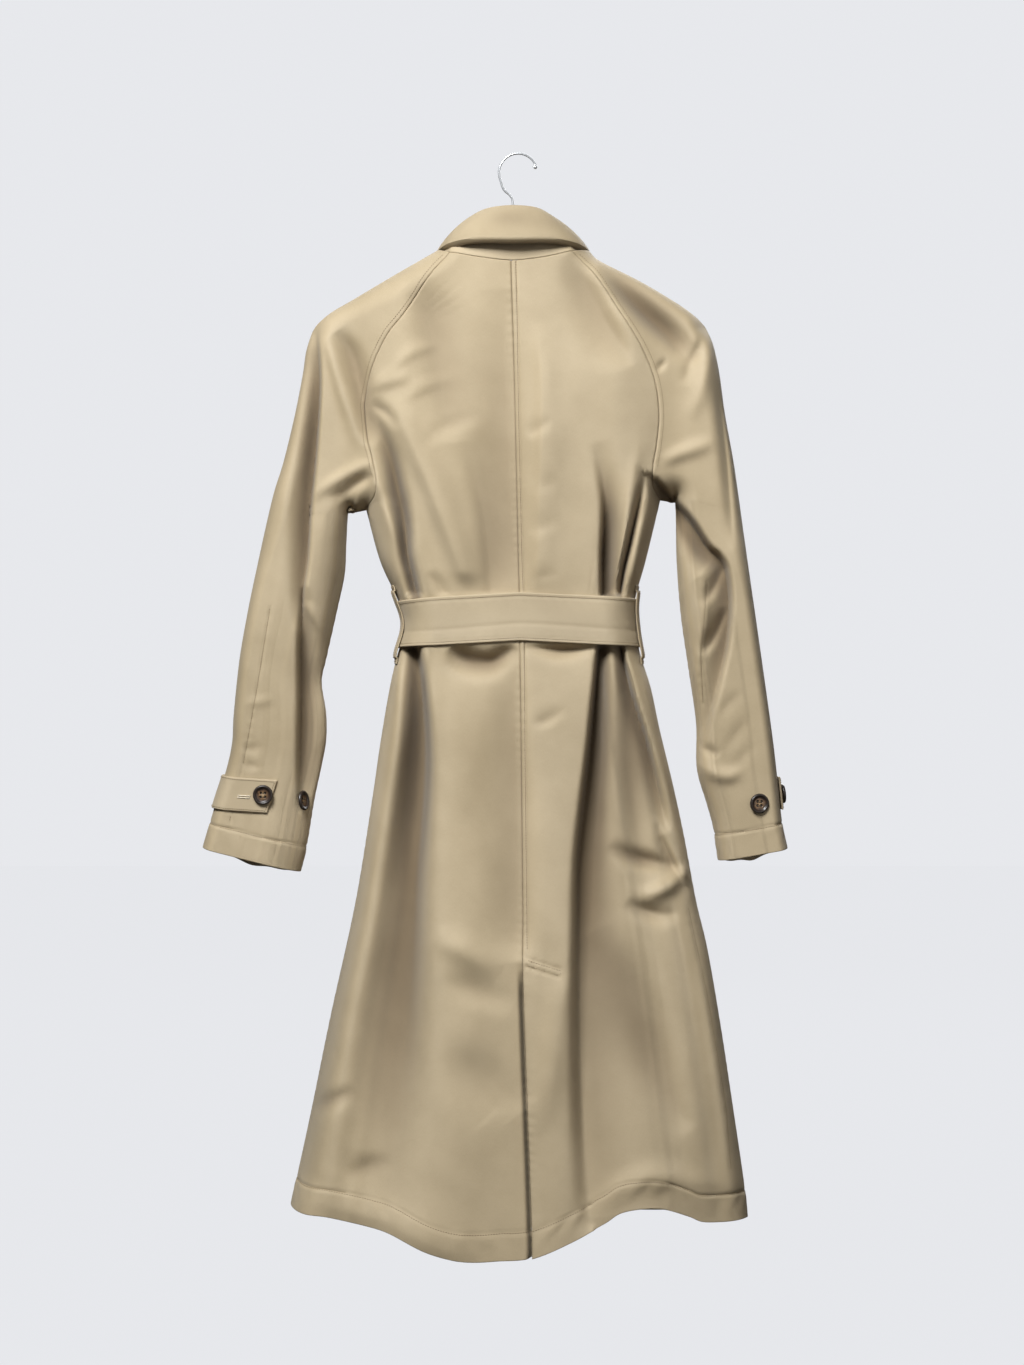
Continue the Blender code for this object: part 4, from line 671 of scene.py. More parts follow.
def shell(name, points, sign, thickness, finish, roll=0.8, wrap=False, shade=None, grain=0):
    """Closed wall on a grid. Its half thickness rises from nothing at the edges as a quarter circle of the
    roll, so that edges are round and seams show as grooves. Returns the piece and its outer face."""
    edge = np.minimum(from_edge(points, 0, 0), from_edge(points, 0, -1))
    if not wrap:
        edge = np.minimum(edge, np.minimum(from_edge(points, 1, 0), from_edge(points, 1, -1)))
    half = (thickness / 2 * quarter(edge / roll))[..., None]
    normal = out_of(points, sign, wrap)
    outer, inner = points + normal * half, points - normal * half
    rows, cols = points.shape[:2]
    index = np.arange(rows * cols).reshape(rows, cols)
    inside = index + rows * cols
    inside[[0, -1]] = index[[0, -1]]
    if not wrap:
        inside[:, [0, -1]] = index[:, [0, -1]]
    faces = np.vstack([quads(index, wrap), quads(inside, wrap)[:, ::-1]])
    vertices = np.vstack([outer.reshape(-1, 3), inner.reshape(-1, 3)])
    across, down = from_edge(points, 1, grain), from_edge(points, 0, 0)
    uv = np.tile(np.stack([across, down], -1).reshape(-1, 2) * MM, (2, 1))
    used, faces = np.unique(faces, return_inverse=True)
    shade = np.zeros(points.shape[:2]) if shade is None else shade
    made = piece(name, vertices[used], faces.reshape(-1, 4), finish, uv[used],
                 shade=np.tile(shade.ravel(), 2)[used])
    return made, outer


def seam_line(points, axis, end, away):
    """Line on a grid that keeps a distance from one of its edges: on each row (axis 1) or column (axis 0)
    the point at that distance along it, run evenly between the two grid points beside it."""
    grid = points if axis == 1 else points.transpose(1, 0, 2)
    far = from_edge(grid, 1, end)
    if end != 0:
        grid, far = grid[:, ::-1], far[:, ::-1]
    index = np.clip((far < away).sum(1), 1, grid.shape[1] - 1)
    row = np.arange(len(grid))
    low, high = far[row, index - 1], far[row, index]
    share = np.clip((away - low) / np.maximum(high - low, 1e-6), 0, 1)[:, None]
    return grid[row, index - 1] * (1 - share) + grid[row, index] * share


def stitched(lines, pitch=3.0, thread=2.3, width=0.95, rise=0.2):
    """Vertices and faces of stitches: each is a slim double pyramid that lies along its line of (points,
    outward normals)."""
    vertices, faces, count = [], [], 0
    for path, normal in lines:
        along = lengths(path)
        middles = np.arange(pitch, along[-1] - pitch / 2, pitch)
        centre = at_length(path, middles)
        ahead = unit(at_length(path, middles + 0.8) - at_length(path, middles - 0.8))
        up = unit(np.stack([np.interp(middles, along, column) for column in normal.T], -1))
        side = unit(np.cross(ahead, up))
        centre = centre + up * rise
        star = np.stack([centre - ahead * thread / 2, centre + ahead * thread / 2, centre + side * width / 2,
                         centre + up * width / 2, centre - side * width / 2, centre - up * width / 2], 1)
        pattern = np.array([(0, 3, 2), (0, 4, 3), (0, 5, 4), (0, 2, 5), (1, 2, 3), (1, 3, 4), (1, 4, 5),
                            (1, 5, 2)])
        faces.append((np.arange(len(middles))[:, None, None] * 6 + pattern + count).reshape(-1, 3))
        vertices.append(star.reshape(-1, 3))
        count += 6 * len(middles)
    return np.vstack(vertices), np.vstack(faces)


def stitching(name, lines, finish, **size):
    """One piece of all the given lines of stitches."""
    vertices, faces = stitched(lines, **size)
    return piece(name, vertices, faces, finish, sharp=3.0)


# Dark brown that the cloth's colour is mixed towards in deep folds and seam grooves: painted shade.
SHADE_COLOUR = (0.075, 0.042, 0.016, 1.0)


def gabardine(name, low, high):
    """Twill cloth: steep fine diagonal ribs as a sine on the cut's own coordinates, crossed by yarn noise,
    with slow clouds of colour on Object coordinates. Where the shade attribute says that it lies deep in a
    fold or seam, its colour is mixed towards a dark brown as painted shade, and its roughness is raised."""
    made = shader(name, high, 0.7, IOR=1.55, Specular_IOR_Level=0.9, Sheen_Weight=0.12, Sheen_Roughness=0.5)
    tree = made.node_tree
    surface = tree.nodes["Principled BSDF"]
    surface.inputs["Sheen Tint"].default_value = (1.0, 0.95, 0.86, 1.0)
    cut = add_node(tree, "ShaderNodeUVMap", uv_map="cut").outputs["UV"]
    place = add_node(tree, "ShaderNodeTexCoord").outputs["Object"]
    across = add_node(tree, "ShaderNodeVectorMath", {0: cut, 1: (8300.0, 4200.0, 0.0)},
                      operation="DOT_PRODUCT")
    rib = add_node(tree, "ShaderNodeMath", {0: across.outputs["Value"]}, operation="SINE")
    stretch = add_node(tree, "ShaderNodeMapping", {"Vector": cut, "Scale": (1600.0, 420.0, 1.0)})
    yarn = add_node(tree, "ShaderNodeTexNoise", {"Vector": stretch.outputs["Vector"], "Scale": 1.0,
                                                 "Detail": 2.0})
    clouds = add_node(tree, "ShaderNodeTexNoise", {"Vector": place, "Scale": 7.0, "Detail": 5.0,
                                                   "Roughness": 0.6})
    ribs = add_node(tree, "ShaderNodeMapRange", {"Value": rib.outputs["Value"], "From Min": -1.0,
                                                 "From Max": 1.0, "To Min": -0.05, "To Max": 0.05})
    mix = add_node(tree, "ShaderNodeMath", {0: clouds.outputs["Fac"], 1: ribs.outputs["Result"]},
                   operation="ADD")
    mix = add_node(tree, "ShaderNodeMath", {0: yarn.outputs["Fac"], 1: 0.3, 2: mix.outputs["Value"]},
                   operation="MULTIPLY_ADD")
    colour = ramp_of(tree, mix.outputs["Value"], ((0.42, low), (0.82, high)))
    # painted shade: the shade attribute mixes the base colour towards SHADE_COLOUR and raises the roughness
    sunken = add_node(tree, "ShaderNodeAttribute", attribute_name="shade").outputs["Fac"]
    deep = add_node(tree, "ShaderNodeMapRange", {"Value": sunken, "To Max": 0.74})
    darker = add_node(tree, "ShaderNodeMix", {"Factor": deep.outputs["Result"]}, data_type="RGBA")
    tree.links.new(colour, darker.inputs[6])
    darker.inputs[7].default_value = SHADE_COLOUR
    tree.links.new(darker.outputs[2], surface.inputs["Base Color"])
    duller = add_node(tree, "ShaderNodeMapRange", {"Value": sunken, "To Min": 0.7, "To Max": 1.0})
    tree.links.new(duller.outputs["Result"], surface.inputs["Roughness"])
    height = add_node(tree, "ShaderNodeMath", {0: yarn.outputs["Fac"], 1: 1.6, 2: rib.outputs["Value"]},
                      operation="MULTIPLY_ADD")
    relief = add_node(tree, "ShaderNodeBump", {"Height": height.outputs["Value"], "Distance": 0.00006,
                                               "Strength": 0.8})
    tree.links.new(relief.outputs["Normal"], surface.inputs["Normal"])
    return made


khaki = gabardine("khaki_gabardine", (0.335, 0.254, 0.142), (0.435, 0.338, 0.205))
khaki_belt = gabardine("khaki_gabardine_doubled", (0.35, 0.27, 0.16), (0.44, 0.345, 0.214))
thread = speckled(shader("khaki_thread", (0.19, 0.135, 0.07), 0.6), 900.0, (0.16, 0.11, 0.055),
                  (0.23, 0.165, 0.095))
pale_thread = speckled(shader("pale_thread", (0.66, 0.60, 0.48), 0.6), 900.0, (0.60, 0.53, 0.41),
                       (0.72, 0.66, 0.54))

# ---------------------------------------------------------------------------------------------------
# Back: a left and a right panel of gabardine, joined by the centre seam, topstitched to its right, and
# open below in a vent whose right flap lies on top. Both are turned up in a stitched hem.
# ---------------------------------------------------------------------------------------------------
BEHIND = np.array([0.0, -1.0, 0.0])
VENT_TOP = -914.0
HEM_WIDTH = 31.0
TOPSTITCH = 6.0
FLAP_LIFT = 4.4
VENT_TUCK = 10.0
UNDERLAP = 30.0
BACK_COLUMNS = 108
VENT_BAR = ((9.0, -919.5), (46.0, -931.5))
BAR_HALF = 4.4
SIDE_SEAM = ((193, -862), (214, -960), (235, -1085), (241, -1160))
centre_line = curve_through(CENTRE_BACK)
heights = middle_heights(2.7)
ends = {side: side_ends(side, heights) for side in ("left", "right")}


def seam_puckers(points, axis, end, reach, size, pitch):
    """Small puckers beside a seam: a wandering sine along the seam that dies out away from it."""
    away = from_edge(points, axis, end)
    along = from_edge(points, 1 - axis, 0)
    wave = np.sin(2 * np.pi * along / pitch + 1.7 * np.sin(along / 23.0)) * (0.6 + 0.4 * np.sin(along / 37.0))
    return size * wave * bell(away, reach)


def seam_groove(points, end, rows=slice(None)):
    """Both sides of a seam dip to meet 1.2 mm below the cloth, within 1.2 mm of the seam."""
    dip = -1.2 * bell(from_edge(points, 1, end), 1.2)
    kept = np.zeros_like(dip)
    kept[rows] = dip[rows]
    return kept


def seam_shade(points):
    """Painted shade in the groove of the seams at both sides of a panel: it falls off over about 1 mm."""
    sides = np.minimum(from_edge(points, 1, 0), from_edge(points, 1, -1))
    return bell(sides, 1.1)


def line_groove(points, line, depth, reach):
    """Groove along a line of (x, z) that dies out with the distance from it, and lighter puckers beside
    it."""
    line = np.array(line, float)
    away, _, share = nearest(line, points[..., 0].ravel(), points[..., 2].ravel())
    along = share * lengths(line)[-1]
    puckers = 0.16 * np.sin(along / 2.6 + 3.0 * np.sin(along / 21.0)) * bell(away, 5.0)
    return (puckers - depth * bell(away, reach)).reshape(points.shape[:2])


def hem_relief(points, end, width, size=0.7):
    """Turned-up hem: a little proud of the cloth, with a groove at its stitches and slanting puckers."""
    away, along = from_edge(points, 0, end), from_edge(points, 1, 0)
    band = smooth((width - away) / 3.0)
    groove = bell(away - width, 1.2)
    slant = np.sin((along + 0.55 * away) / 4.6 + 1.3 * np.sin(along / 31.0))
    near_stitch = bell(away - width + 6, 9.0)
    return 0.5 * band - 1.1 * groove + size * slant * near_stitch * (0.5 + 0.5 * np.sin(along / 19.0))


back = {side: body_grid(ends[side], lambda z: at_height(centre_line, z), heights, eased(BACK_COLUMNS),
                        NECK_BACK, HEM_BACK, -1) for side in ends}
vent = smooth((VENT_TOP + 20 - back["right"][..., 2]) / 60)
from_middle = from_edge(back["right"], 1, -1)
back["right"][..., 1] -= FLAP_LIFT * vent * (1 - smooth((from_middle - 25) / 45))
from_middle = from_edge(back["left"], 1, -1)
vent = smooth((VENT_TOP - back["left"][..., 2]) / 50)
back["left"][..., 1] += VENT_TUCK * vent * (1 - smooth(from_middle / 8.0))

for side in ("left", "right"):
    points = rimmed(back[side])
    relief = (hem_relief(points, -1, HEM_WIDTH) + seam_puckers(points, 1, -1, 7.0, 0.28, 11.0)
              + seam_puckers(points, 1, 0, 5.0, 0.22, 13.0) + seam_groove(points, 0, slice(0, SEAM_ROWS))
              + seam_groove(points, -1, points[:, -1, 2] > VENT_TOP))
    if side == "right":
        relief += line_groove(points, VENT_BAR, -0.9, 2.2) + line_groove(points, SIDE_SEAM, 0.8, 1.1)
        for drop in (BAR_HALF, -BAR_HALF):
            relief += line_groove(points, np.array(VENT_BAR) - (0, drop), 1.3, 1.6)
        relief -= 0.8 * bell(from_edge(points, 1, -1) - TOPSTITCH, 1.3) * (points[:, -1:, 2] > VENT_TOP + 2)
    points = points + out_of(points, BEHIND) * relief[..., None]
    # painted shade: the cloth's colour is darkened in the folds and in the seam grooves
    shade = sunk(points, -1) + 0.5 * seam_shade(points)
    made, outer = shell("back_%s_cloth" % side, points, BEHIND, CLOTH, khaki, shade=shade, grain=-1)
    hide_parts("back_" + side)
    back[side + " face"] = outer


def along_edge(outer, sign, axis, end, away, keep=slice(None)):
    """Line of stitches at a distance from an edge of a face, with the face's normals there: the cross of
    the line's own direction and the step to a line 0.02 mm farther in."""
    normal = out_of(outer, sign)
    line = seam_line(outer, axis, end, away)
    farther = seam_line(outer, axis, end, away + 0.02)
    up = unit(np.cross(np.gradient(line, axis=0), farther - line))
    if (up * normal.mean((0, 1))).sum() < 0:
        up = -up
    return line[keep], up[keep]


right_face, left_face = back["right face"], back["left face"]
seam_rows = right_face[:, -1, 2] > VENT_TOP + 4
back_lines = [along_edge(face, BEHIND, 0, -1, HEM_WIDTH) for face in (left_face, right_face)]
back_lines.append(along_edge(right_face, BEHIND, 1, -1, TOPSTITCH, seam_rows))
back_lines.append(on_cloth(even_line(SIDE_SEAM), -1, out=0.3))
for bar in (((9, -917), (48, -929)), ((9, -922.5), (46.5, -934.5)), ((48, -929), (46.5, -934.5))):
    back_lines.append(on_cloth(even_line(bar), -1, out=2.6))
stitching("back_stitching", back_lines, thread)

# the underlap of the vent: a strip that carries on under the flap
low = np.nonzero(back["right"][:, -1, 2] < VENT_TOP - 6)[0]
flap = back["right"][low]
strip = np.stack([seam_line(flap, 1, -1, away) for away in np.linspace(0.5, UNDERLAP, 12)], 1)
strip = strip[:-2] - BEHIND * 3.0
underlap, _ = shell("vent_underlap_cloth", rimmed(strip), BEHIND, CLOTH, khaki)
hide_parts("vent_underlap")

# ---------------------------------------------------------------------------------------------------
# Fronts: two panels of the same gabardine, sewn to the backs along the sides. The wearer's right one laps
# over the left one with a stitched edge, and both are turned up in a stitched hem.
# ---------------------------------------------------------------------------------------------------
AHEAD = np.array([0.0, 1.0, 0.0])
FRONT_EDGES = {"left": 30.0, "right": -35.0}
FRONT_NECK_DROP = -48.0
LAP_LIFT = 2.4
LAP_END = 62.0
FRONT_COLUMNS = 48
front_heights = middle_heights(4.8)
front_ends = {"left": side_ends("left", front_heights, (6.0, -22.0)),
              "right": side_ends("right", front_heights, (-6.0, -22.0))}
front_lines = []
for side, edge in FRONT_EDGES.items():
    grid = body_grid(front_ends[side], lambda z: np.full(len(z), edge), front_heights, eased(FRONT_COLUMNS),
                     NECK_FRONT, HEM_FRONT, 1, FRONT_NECK_DROP)
    if side == "right":
        grid[..., 1] += LAP_LIFT * (1 - smooth((grid[..., 0] - LAP_END) / 30))
    points = rimmed(grid)
    points = points + out_of(points, AHEAD) * hem_relief(points, -1, HEM_WIDTH)[..., None]
    # painted shade: the cloth's colour is darkened in the folds
    made, outer = shell("front_%s_cloth" % side, points, AHEAD, CLOTH, khaki, shade=sunk(points, 1), grain=-1)
    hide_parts("front_" + side)
    front_lines.append(along_edge(outer, AHEAD, 0, -1, HEM_WIDTH))
    if side == "right":
        front_lines.append(along_edge(outer, AHEAD, 1, -1, TOPSTITCH))
stitching("front_stitching", front_lines, thread)

# ---------------------------------------------------------------------------------------------------
# Sleeves: raglan sleeves of the same gabardine, each a back half and a front half, sewn to the body along
# the raglan seams and open at the cuffs, which are turned up in a stitched hem.
# ---------------------------------------------------------------------------------------------------
OUTER_MATCH = {"left": ((0, 0), (0.3, 120), (0.5, 192), (0.7, 268), (0.9, 348), (1.0, 385)),
               "right": ((0, 0), (0.3, 112), (0.5, 182), (0.7, 255), (0.9, 330), (1.0, 366))}
CUFF_HEM = 30.0
SLEEVE_ROWS = {"back": (205, 84), "front": (130, 40)}
ARM_SEAMS = {"left": ((-282, -521), (-299, -620), (-314, -700), (-331, -775)),
             "right": ((215, -492), (208, -575), (212, -632))}


def sleeve_grid(side, facing, seam_ends, rows, columns):
    """Points of a sleeve half: rows from the outer edge to the raglan seam, then to the inner edge."""
    outer = np.vstack([EDGES["shoulder " + side], EDGES["arm " + side][1:]])
    inner = EDGES["inside " + side]
    match = np.array(OUTER_MATCH[side], float)
    upper = np.interp(SHARES, match[:, 0], match[:, 1])
    along = np.linspace(0, 1, rows + 1)[1:] ** 1.1
    inner_ends = np.vstack([seam_ends[:SEAM_ROWS], at_length(inner, along * lengths(inner)[-1])])
    outer_s = np.concatenate([upper, upper[-1] + along * (lengths(outer)[-1] - upper[-1])])
    outer_ends = at_length(outer, outer_s)
    closed = smooth((np.arange(len(inner_ends)) - (SEAM_ROWS - 24)) / 24.0)[:, None]
    both = 0.5 - 0.5 * np.cos(np.pi * np.linspace(0, 1, columns))
    shares = (1 - closed) * eased(columns, 0.2, 0.3) + closed * both
    flat = outer_ends[:, None] * (1 - shares[..., None]) + inner_ends[:, None] * shares[..., None]
    y = hang(flat[..., 0], flat[..., 1], facing, sleeve=True)
    y[:, 0] = forward_of(flat[:, 0, 1])
    y[SEAM_ROWS - 1:, -1] = forward_of(flat[SEAM_ROWS - 1:, -1, 1])
    y[:SEAM_ROWS - 1, -1] = hang(flat[:SEAM_ROWS - 1, -1, 0], flat[:SEAM_ROWS - 1, -1, 1], facing)
    lower = smooth((-700 - flat[..., 1]) / 100) * np.sin(np.pi * shares) * (9.0 + 1.2 * np.sin(shares * 17.0))
    flat[..., 1] -= (facing > 0) * lower
    return np.stack([flat[..., 0], y, flat[..., 1]], axis=-1)


sleeve_lines = []
for side in ("left", "right"):
    for half, facing, seam_ends, sign in (("back", -1, ends[side], BEHIND),
                                          ("front", 1, front_ends[side], AHEAD)):
        points = rimmed(sleeve_grid(side, facing, seam_ends, *SLEEVE_ROWS[half]))
        relief = (hem_relief(points, -1, CUFF_HEM, 0.35) + seam_groove(points, -1, slice(0, SEAM_ROWS))
                  + seam_puckers(points, 1, -1, 8.0, 0.25, 12.0))
        if half == "back":
            relief = relief + line_groove(points, ARM_SEAMS[side], 0.8, 1.1)
        points = points + out_of(points, sign) * relief[..., None]
        # painted shade: the cloth's colour is darkened in the folds and in the seam grooves
        made, outer = shell("sleeve_%s_%s_cloth" % (side, half), points, sign, CLOTH, khaki,
                            shade=sunk(points, facing) + 0.5 * seam_shade(points))
        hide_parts("sleeve_%s_%s" % (side, half))
        sleeve_lines.append(along_edge(outer, sign, 0, -1, CUFF_HEM))
        if half == "back":
            sleeve_lines.append(along_edge(outer, sign, 1, -1, TOPSTITCH, slice(4, SEAM_ROWS - 8)))
for run in (ARM_SEAMS["left"][:3], ((-328, -758), (-331, -768)), ARM_SEAMS["right"]):
    sleeve_lines.append(on_cloth(even_line(run), -1, True, 0.3))
stitching("sleeve_stitching", sleeve_lines, thread)

# ---------------------------------------------------------------------------------------------------
# Collar: a stand of gabardine that rises from the neck seam, and a fall of doubled cloth that is turned
# down over it at the roll line and ends in two points in front.
# ---------------------------------------------------------------------------------------------------
ROLL_LINE = ((-8, 56, -170), (-33, 53, -156), (-60, 41, -130), (-77, 13, -106), (-70, -8, -95),
             (-60, -25, -84), (-45, -37, -74), (-29, -43, -69), (-6, -46, -67), (19, -43, -69),
             (34, -37, -76), (49, -25, -86), (58, -8, -95), (66, 13, -106), (49, 41, -130),
             (22, 53, -156), (-3, 56, -170))
FALL_EDGE = ((-46, 66, -232), (-75, 63, -206), (-93, 54, -155), (-95, 37, -129), (-94, 12, -114),
             (-87, -22, -111), (-75, -43, -108), (-50, -58, -106), (-6, -64, -107), (38, -58, -106),
             (63, -43, -108), (76, -22, -111), (83, 12, -114), (85, 37, -130), (83, 56, -155),
             (64, 66, -206), (36, 69, -232))
FALL_CLOTH = 3.2
STAND_CLOTH = 2.2
UNDERSIDE_ROWS = 9
UPWARDS = np.array([0.0, 0.0, 1.0])
roll, edge = curve_through(ROLL_LINE, 14), curve_through(FALL_EDGE, 14)
shares = np.linspace(0, 1, 26)[:, None, None]
over, drop = (0.42 * turned + 0.58 * shares for turned in (np.sin(shares * np.pi / 2),
                                                          1 - np.cos(shares * np.pi / 2)))
fall = roll[None] + (edge - roll)[None] * np.concatenate([over, over, drop], 2)
middle = np.array([-6.0, 0.0])
away = unit(fall[..., :2] - middle)
bow = (0.2 + 5.0 * smooth(roll[None, :, 1:2] / 30)) * np.sin(np.pi * shares)
fall[..., :2] += away * bow
fall[..., 2] += 0.5 * bow[..., 0]
under = np.linspace(0, 1, 8)[1:, None, None]
lip = fall[-1:] - np.concatenate([away[-1:] * 6.0 * under, 4.5 * under + 0 * away[-1:, :, :1]], 2)
fall = rimmed(np.concatenate([fall, lip]))
# Painted shade on the collar's fall: dark on its turned-under rows, and two soft patches on its back.
beneath = np.arange(len(fall))[:, None] - (len(fall) - UNDERSIDE_ROWS)
painted_shade_patches = (0.34 * bell(fall[..., 0] + 8, 26) * bell(fall[..., 2] + 84, 10)
           + 0.22 * bell(fall[..., 0] - 34, 16) * bell(fall[..., 2] + 88, 9))
beneath = 0.75 * smooth(beneath / 3.0) + painted_shade_patches * (fall[..., 1] < 0)
made, _ = shell("collar_fall_cloth", fall, UPWARDS, FALL_CLOTH, khaki, roll=1.4, shade=beneath)
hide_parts("collar_fall")

neck_front, neck_back = curve_through(NECK_FRONT), curve_through(NECK_BACK)


def on_form(line, facing):
    """Points of the cloth's middle layer at a line of (x, z)."""
    return np.stack([line[:, 0], hang(line[:, 0], line[:, 1], facing), line[:, 1]], 1)


neck = np.vstack([on_form(neck_front[neck_front[:, 0] <= -8][::-1], 1), [(-93, 0, -112)],
                  on_form(neck_back, -1), [(82, 0, -113)],
                  on_form(neck_front[neck_front[:, 0] >= -3][::-1], 1)])
top = roll.copy()
away = unit(top[:, :2] - middle)
top[:, :2] -= away * 0.6
top[:, 2] -= 0.4
foot = at_length(neck, lengths(top) / lengths(top)[-1] * lengths(neck)[-1])
levels = np.linspace(0, 1, 9)[:, None, None]
stand = foot[None] * (1 - levels) + top[None] * levels
made, _ = shell("collar_stand_cloth", rimmed(stand), UPWARDS, STAND_CLOTH, khaki)
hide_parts("collar_stand")

# ---------------------------------------------------------------------------------------------------
# Belt: doubled gabardine round the waist with stitched edges and a soft crease along it, its free end
# under a plain horn buckle in front, and a loop of one layer at each side seam.
# ---------------------------------------------------------------------------------------------------
BELT_CLOTH = 2.6
BELT_OUT = 2.9
BELT_STITCH = 4.2
LOOP_CLOTH = 1.5
RIM = 3
BELT_EDGES = (-505.0, -560.0)
BELT_END = (-105.0, 45.0)
BELT_CREASE = 0.66
LOOP_Y = (-27.0, -15.0)
LOOP_ROWS = ((-496, 1.6), (-502, 2.6), (-507, 5.6), (-541, 6.3), (-574, 5.6), (-580, 2.6), (-586, 1.6))
BUCKLE = {"x": 22.0, "width": 60.0, "height": 68.0, "bar": 8.0, "depth": 4.5, "round": 10.0}
PRONG_REACH = 27.0
PRONG_RADIUS = 1.4
PRONG_LIFT = 1.7


def waist_grid(rows):
    """Rows round the waist on the unfolded form: behind from the left side to the right one, then ahead
    from the right side to the left one over the lapped fronts."""
    middle_z = np.linspace(*BELT_EDGES, rows)[:, None]
    levels = np.array(LEVELS, float)
    left_z, right_z = (np.interp(-middle_z, -levels[:, 0], levels[:, column]) for column in (1, 2))
    left_x, right_x = at_height(EDGES["side left"], left_z), at_height(EDGES["side right"], right_z)
    middle_x = at_height(centre_line, middle_z)
    shares = eased(70, 0.12, 0.2)[None]
    near, far = shares[:, :-1], shares[:, ::-1]
    x = np.concatenate([left_x + (middle_x - left_x) * near, right_x + (middle_x - right_x) * far], 1)
    z = np.concatenate([left_z + (middle_z - left_z) * near, right_z + (middle_z - right_z) * far], 1)
    y = hang(x, z, -1, folds=False)
    y[:, [0, -1]] = 0.0
    turn = 0.5 - 0.5 * np.cos(np.pi * np.linspace(0, 1, 112))[None, 1:-1]
    ahead_x = right_x + (left_x - right_x) * turn
    outward = np.clip(np.abs(ahead_x) / 130.0, 0, 1)
    ahead_z = middle_z + (np.where(ahead_x < 0, left_z, right_z) - middle_z) * outward
    ahead_y = hang(ahead_x, ahead_z, 1, folds=False) + LAP_LIFT * smooth((110 - np.abs(ahead_x)) / 40)
    return np.stack([np.concatenate([x, ahead_x], 1), np.concatenate([y, ahead_y], 1),
                     np.concatenate([z, ahead_z], 1)], -1)


waist = rimmed(waist_grid(26), (0.4, 1.0, 2.0), wrap=True)
round_waist = waist * (1.0, 1.0, 0.0)
out = out_of(waist, round_waist, wrap=True)
down = from_edge(waist, 0, 0)
up = down[-1:] - down
height_share = down / down[-1:]
along = from_edge(waist, 1, 0)
crease = 0.55 * bell(height_share - BELT_CREASE - 0.02 * np.sin(along / 41), 0.035)
edge_groove = 0.4 * (bell(down - BELT_STITCH, 1.0) + bell(up - BELT_STITCH, 1.0))
slack = 0.5 * np.sin(along / 33 + 2.2 * height_share) * np.sin(np.pi * height_share)
pucker = 0.14 * np.sin(along / 1.9 + 2.0 * np.sin(along / 27)) * (bell(down - 7, 5) + bell(up - 7, 5))
belt_points = waist + out * (BELT_OUT + slack + pucker - crease - edge_groove)[..., None]
belt, belt_face = shell("belt_cloth", belt_points, round_waist, BELT_CLOTH, khaki_belt, 1.3, wrap=True)
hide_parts("belt")
belt_lines = [along_edge(belt_face, round_waist, 0, end, BELT_STITCH) for end in (0, -1)]

middle_row = waist[13]
ahead = (middle_row[:, 1] > 0) & (middle_row[:, 0] > BELT_END[0]) & (middle_row[:, 0] < BELT_END[1])
tongue = rimmed(waist[RIM:-RIM][:, ahead] + out[RIM:-RIM][:, ahead] * (BELT_OUT + BELT_CLOTH + 0.5))
belt_end, tongue_face = shell("belt_end_cloth", tongue, AHEAD, BELT_CLOTH, khaki_belt, 1.3)
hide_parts("belt_end")
belt_lines += [along_edge(tongue_face, AHEAD, 0, end, BELT_STITCH) for end in (0, -1)]
free_end = 0 if tongue[0, 0, 0] < 0 else -1
belt_lines.append(along_edge(tongue_face, AHEAD, 1, free_end, BELT_STITCH, slice(RIM, -RIM)))

loop_lines, tacks = [], []
for side, sign in (("left", -1), ("right", 1)):
    profile = curve_through(LOOP_ROWS, 6)
    height, lift = profile[:, :1], profile[:, 1:]
    cap = np.interp(-height, [-row[0] for row in BODY_DEPTH], [row[1] for row in BODY_DEPTH])
    across_loop = np.linspace(*LOOP_Y, 9)[None, :]
    inset = round_of(cap, height) * (1 - np.sqrt(1 - (across_loop / cap) ** 2))
    length = np.hypot(1.0, across_loop / cap)
    base_x = at_height(EDGES["side " + side], height) - sign * inset
    grid = np.stack([base_x + sign * lift / length, across_loop + across_loop / cap / length * lift,
                     height + 0 * across_loop], -1)
    out_sign = np.array([float(sign), -0.3, 0.0])
    made, face = shell("belt_loop_%s_cloth" % side, rimmed(grid), out_sign, LOOP_CLOTH, khaki, 0.9)
    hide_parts("belt_loop_" + side)
    loop_lines += [along_edge(face, out_sign, 1, end, 2.0) for end in (0, -1)]
    tacks += [along_edge(face, out_sign, 0, end, 4.0, slice(RIM, -RIM)) for end in (0, -1)]
stitching("belt_stitching", belt_lines + loop_lines, thread, pitch=2.8)
stitching("loop_tacks", tacks, thread, pitch=0.7, thread=1.6, width=1.1)


HORN_COLOURS = ((0.34, (0.36, 0.25, 0.14)), (0.62, (0.20, 0.115, 0.055)), (0.86, (0.055, 0.03, 0.018)),
                (1.0, (0.022, 0.015, 0.012)))


def horn_finish():
    """Polished horn look: brown clouds from a tan middle to a nearly black rim, on the button's own
    radius. The holes' radius is set past the rim, so they are painted nearly black as shade."""
    made = shader("horn_look", (0.05, 0.03, 0.02), 0.36, Coat_Weight=0.2, Coat_Roughness=0.25)
    tree = made.node_tree
    radius = add_node(tree, "ShaderNodeSeparateXYZ",
                      {"Vector": add_node(tree, "ShaderNodeUVMap", uv_map="cut").outputs["UV"]}).outputs["X"]
    place = add_node(tree, "ShaderNodeTexCoord").outputs["Object"]
    noise = add_node(tree, "ShaderNodeTexNoise", {"Vector": place, "Scale": 190.0, "Detail": 5.0,
                                                  "Distortion": 1.2})
    mixed = add_node(tree, "ShaderNodeMath", {0: noise.outputs["Fac"], 1: 0.62, 2: radius},
                     operation="MULTIPLY_ADD")
    colour = ramp_of(tree, mixed.outputs["Value"], HORN_COLOURS)
    tree.links.new(colour, tree.nodes["Principled BSDF"].inputs["Base Color"])
    return made


horn = horn_finish()

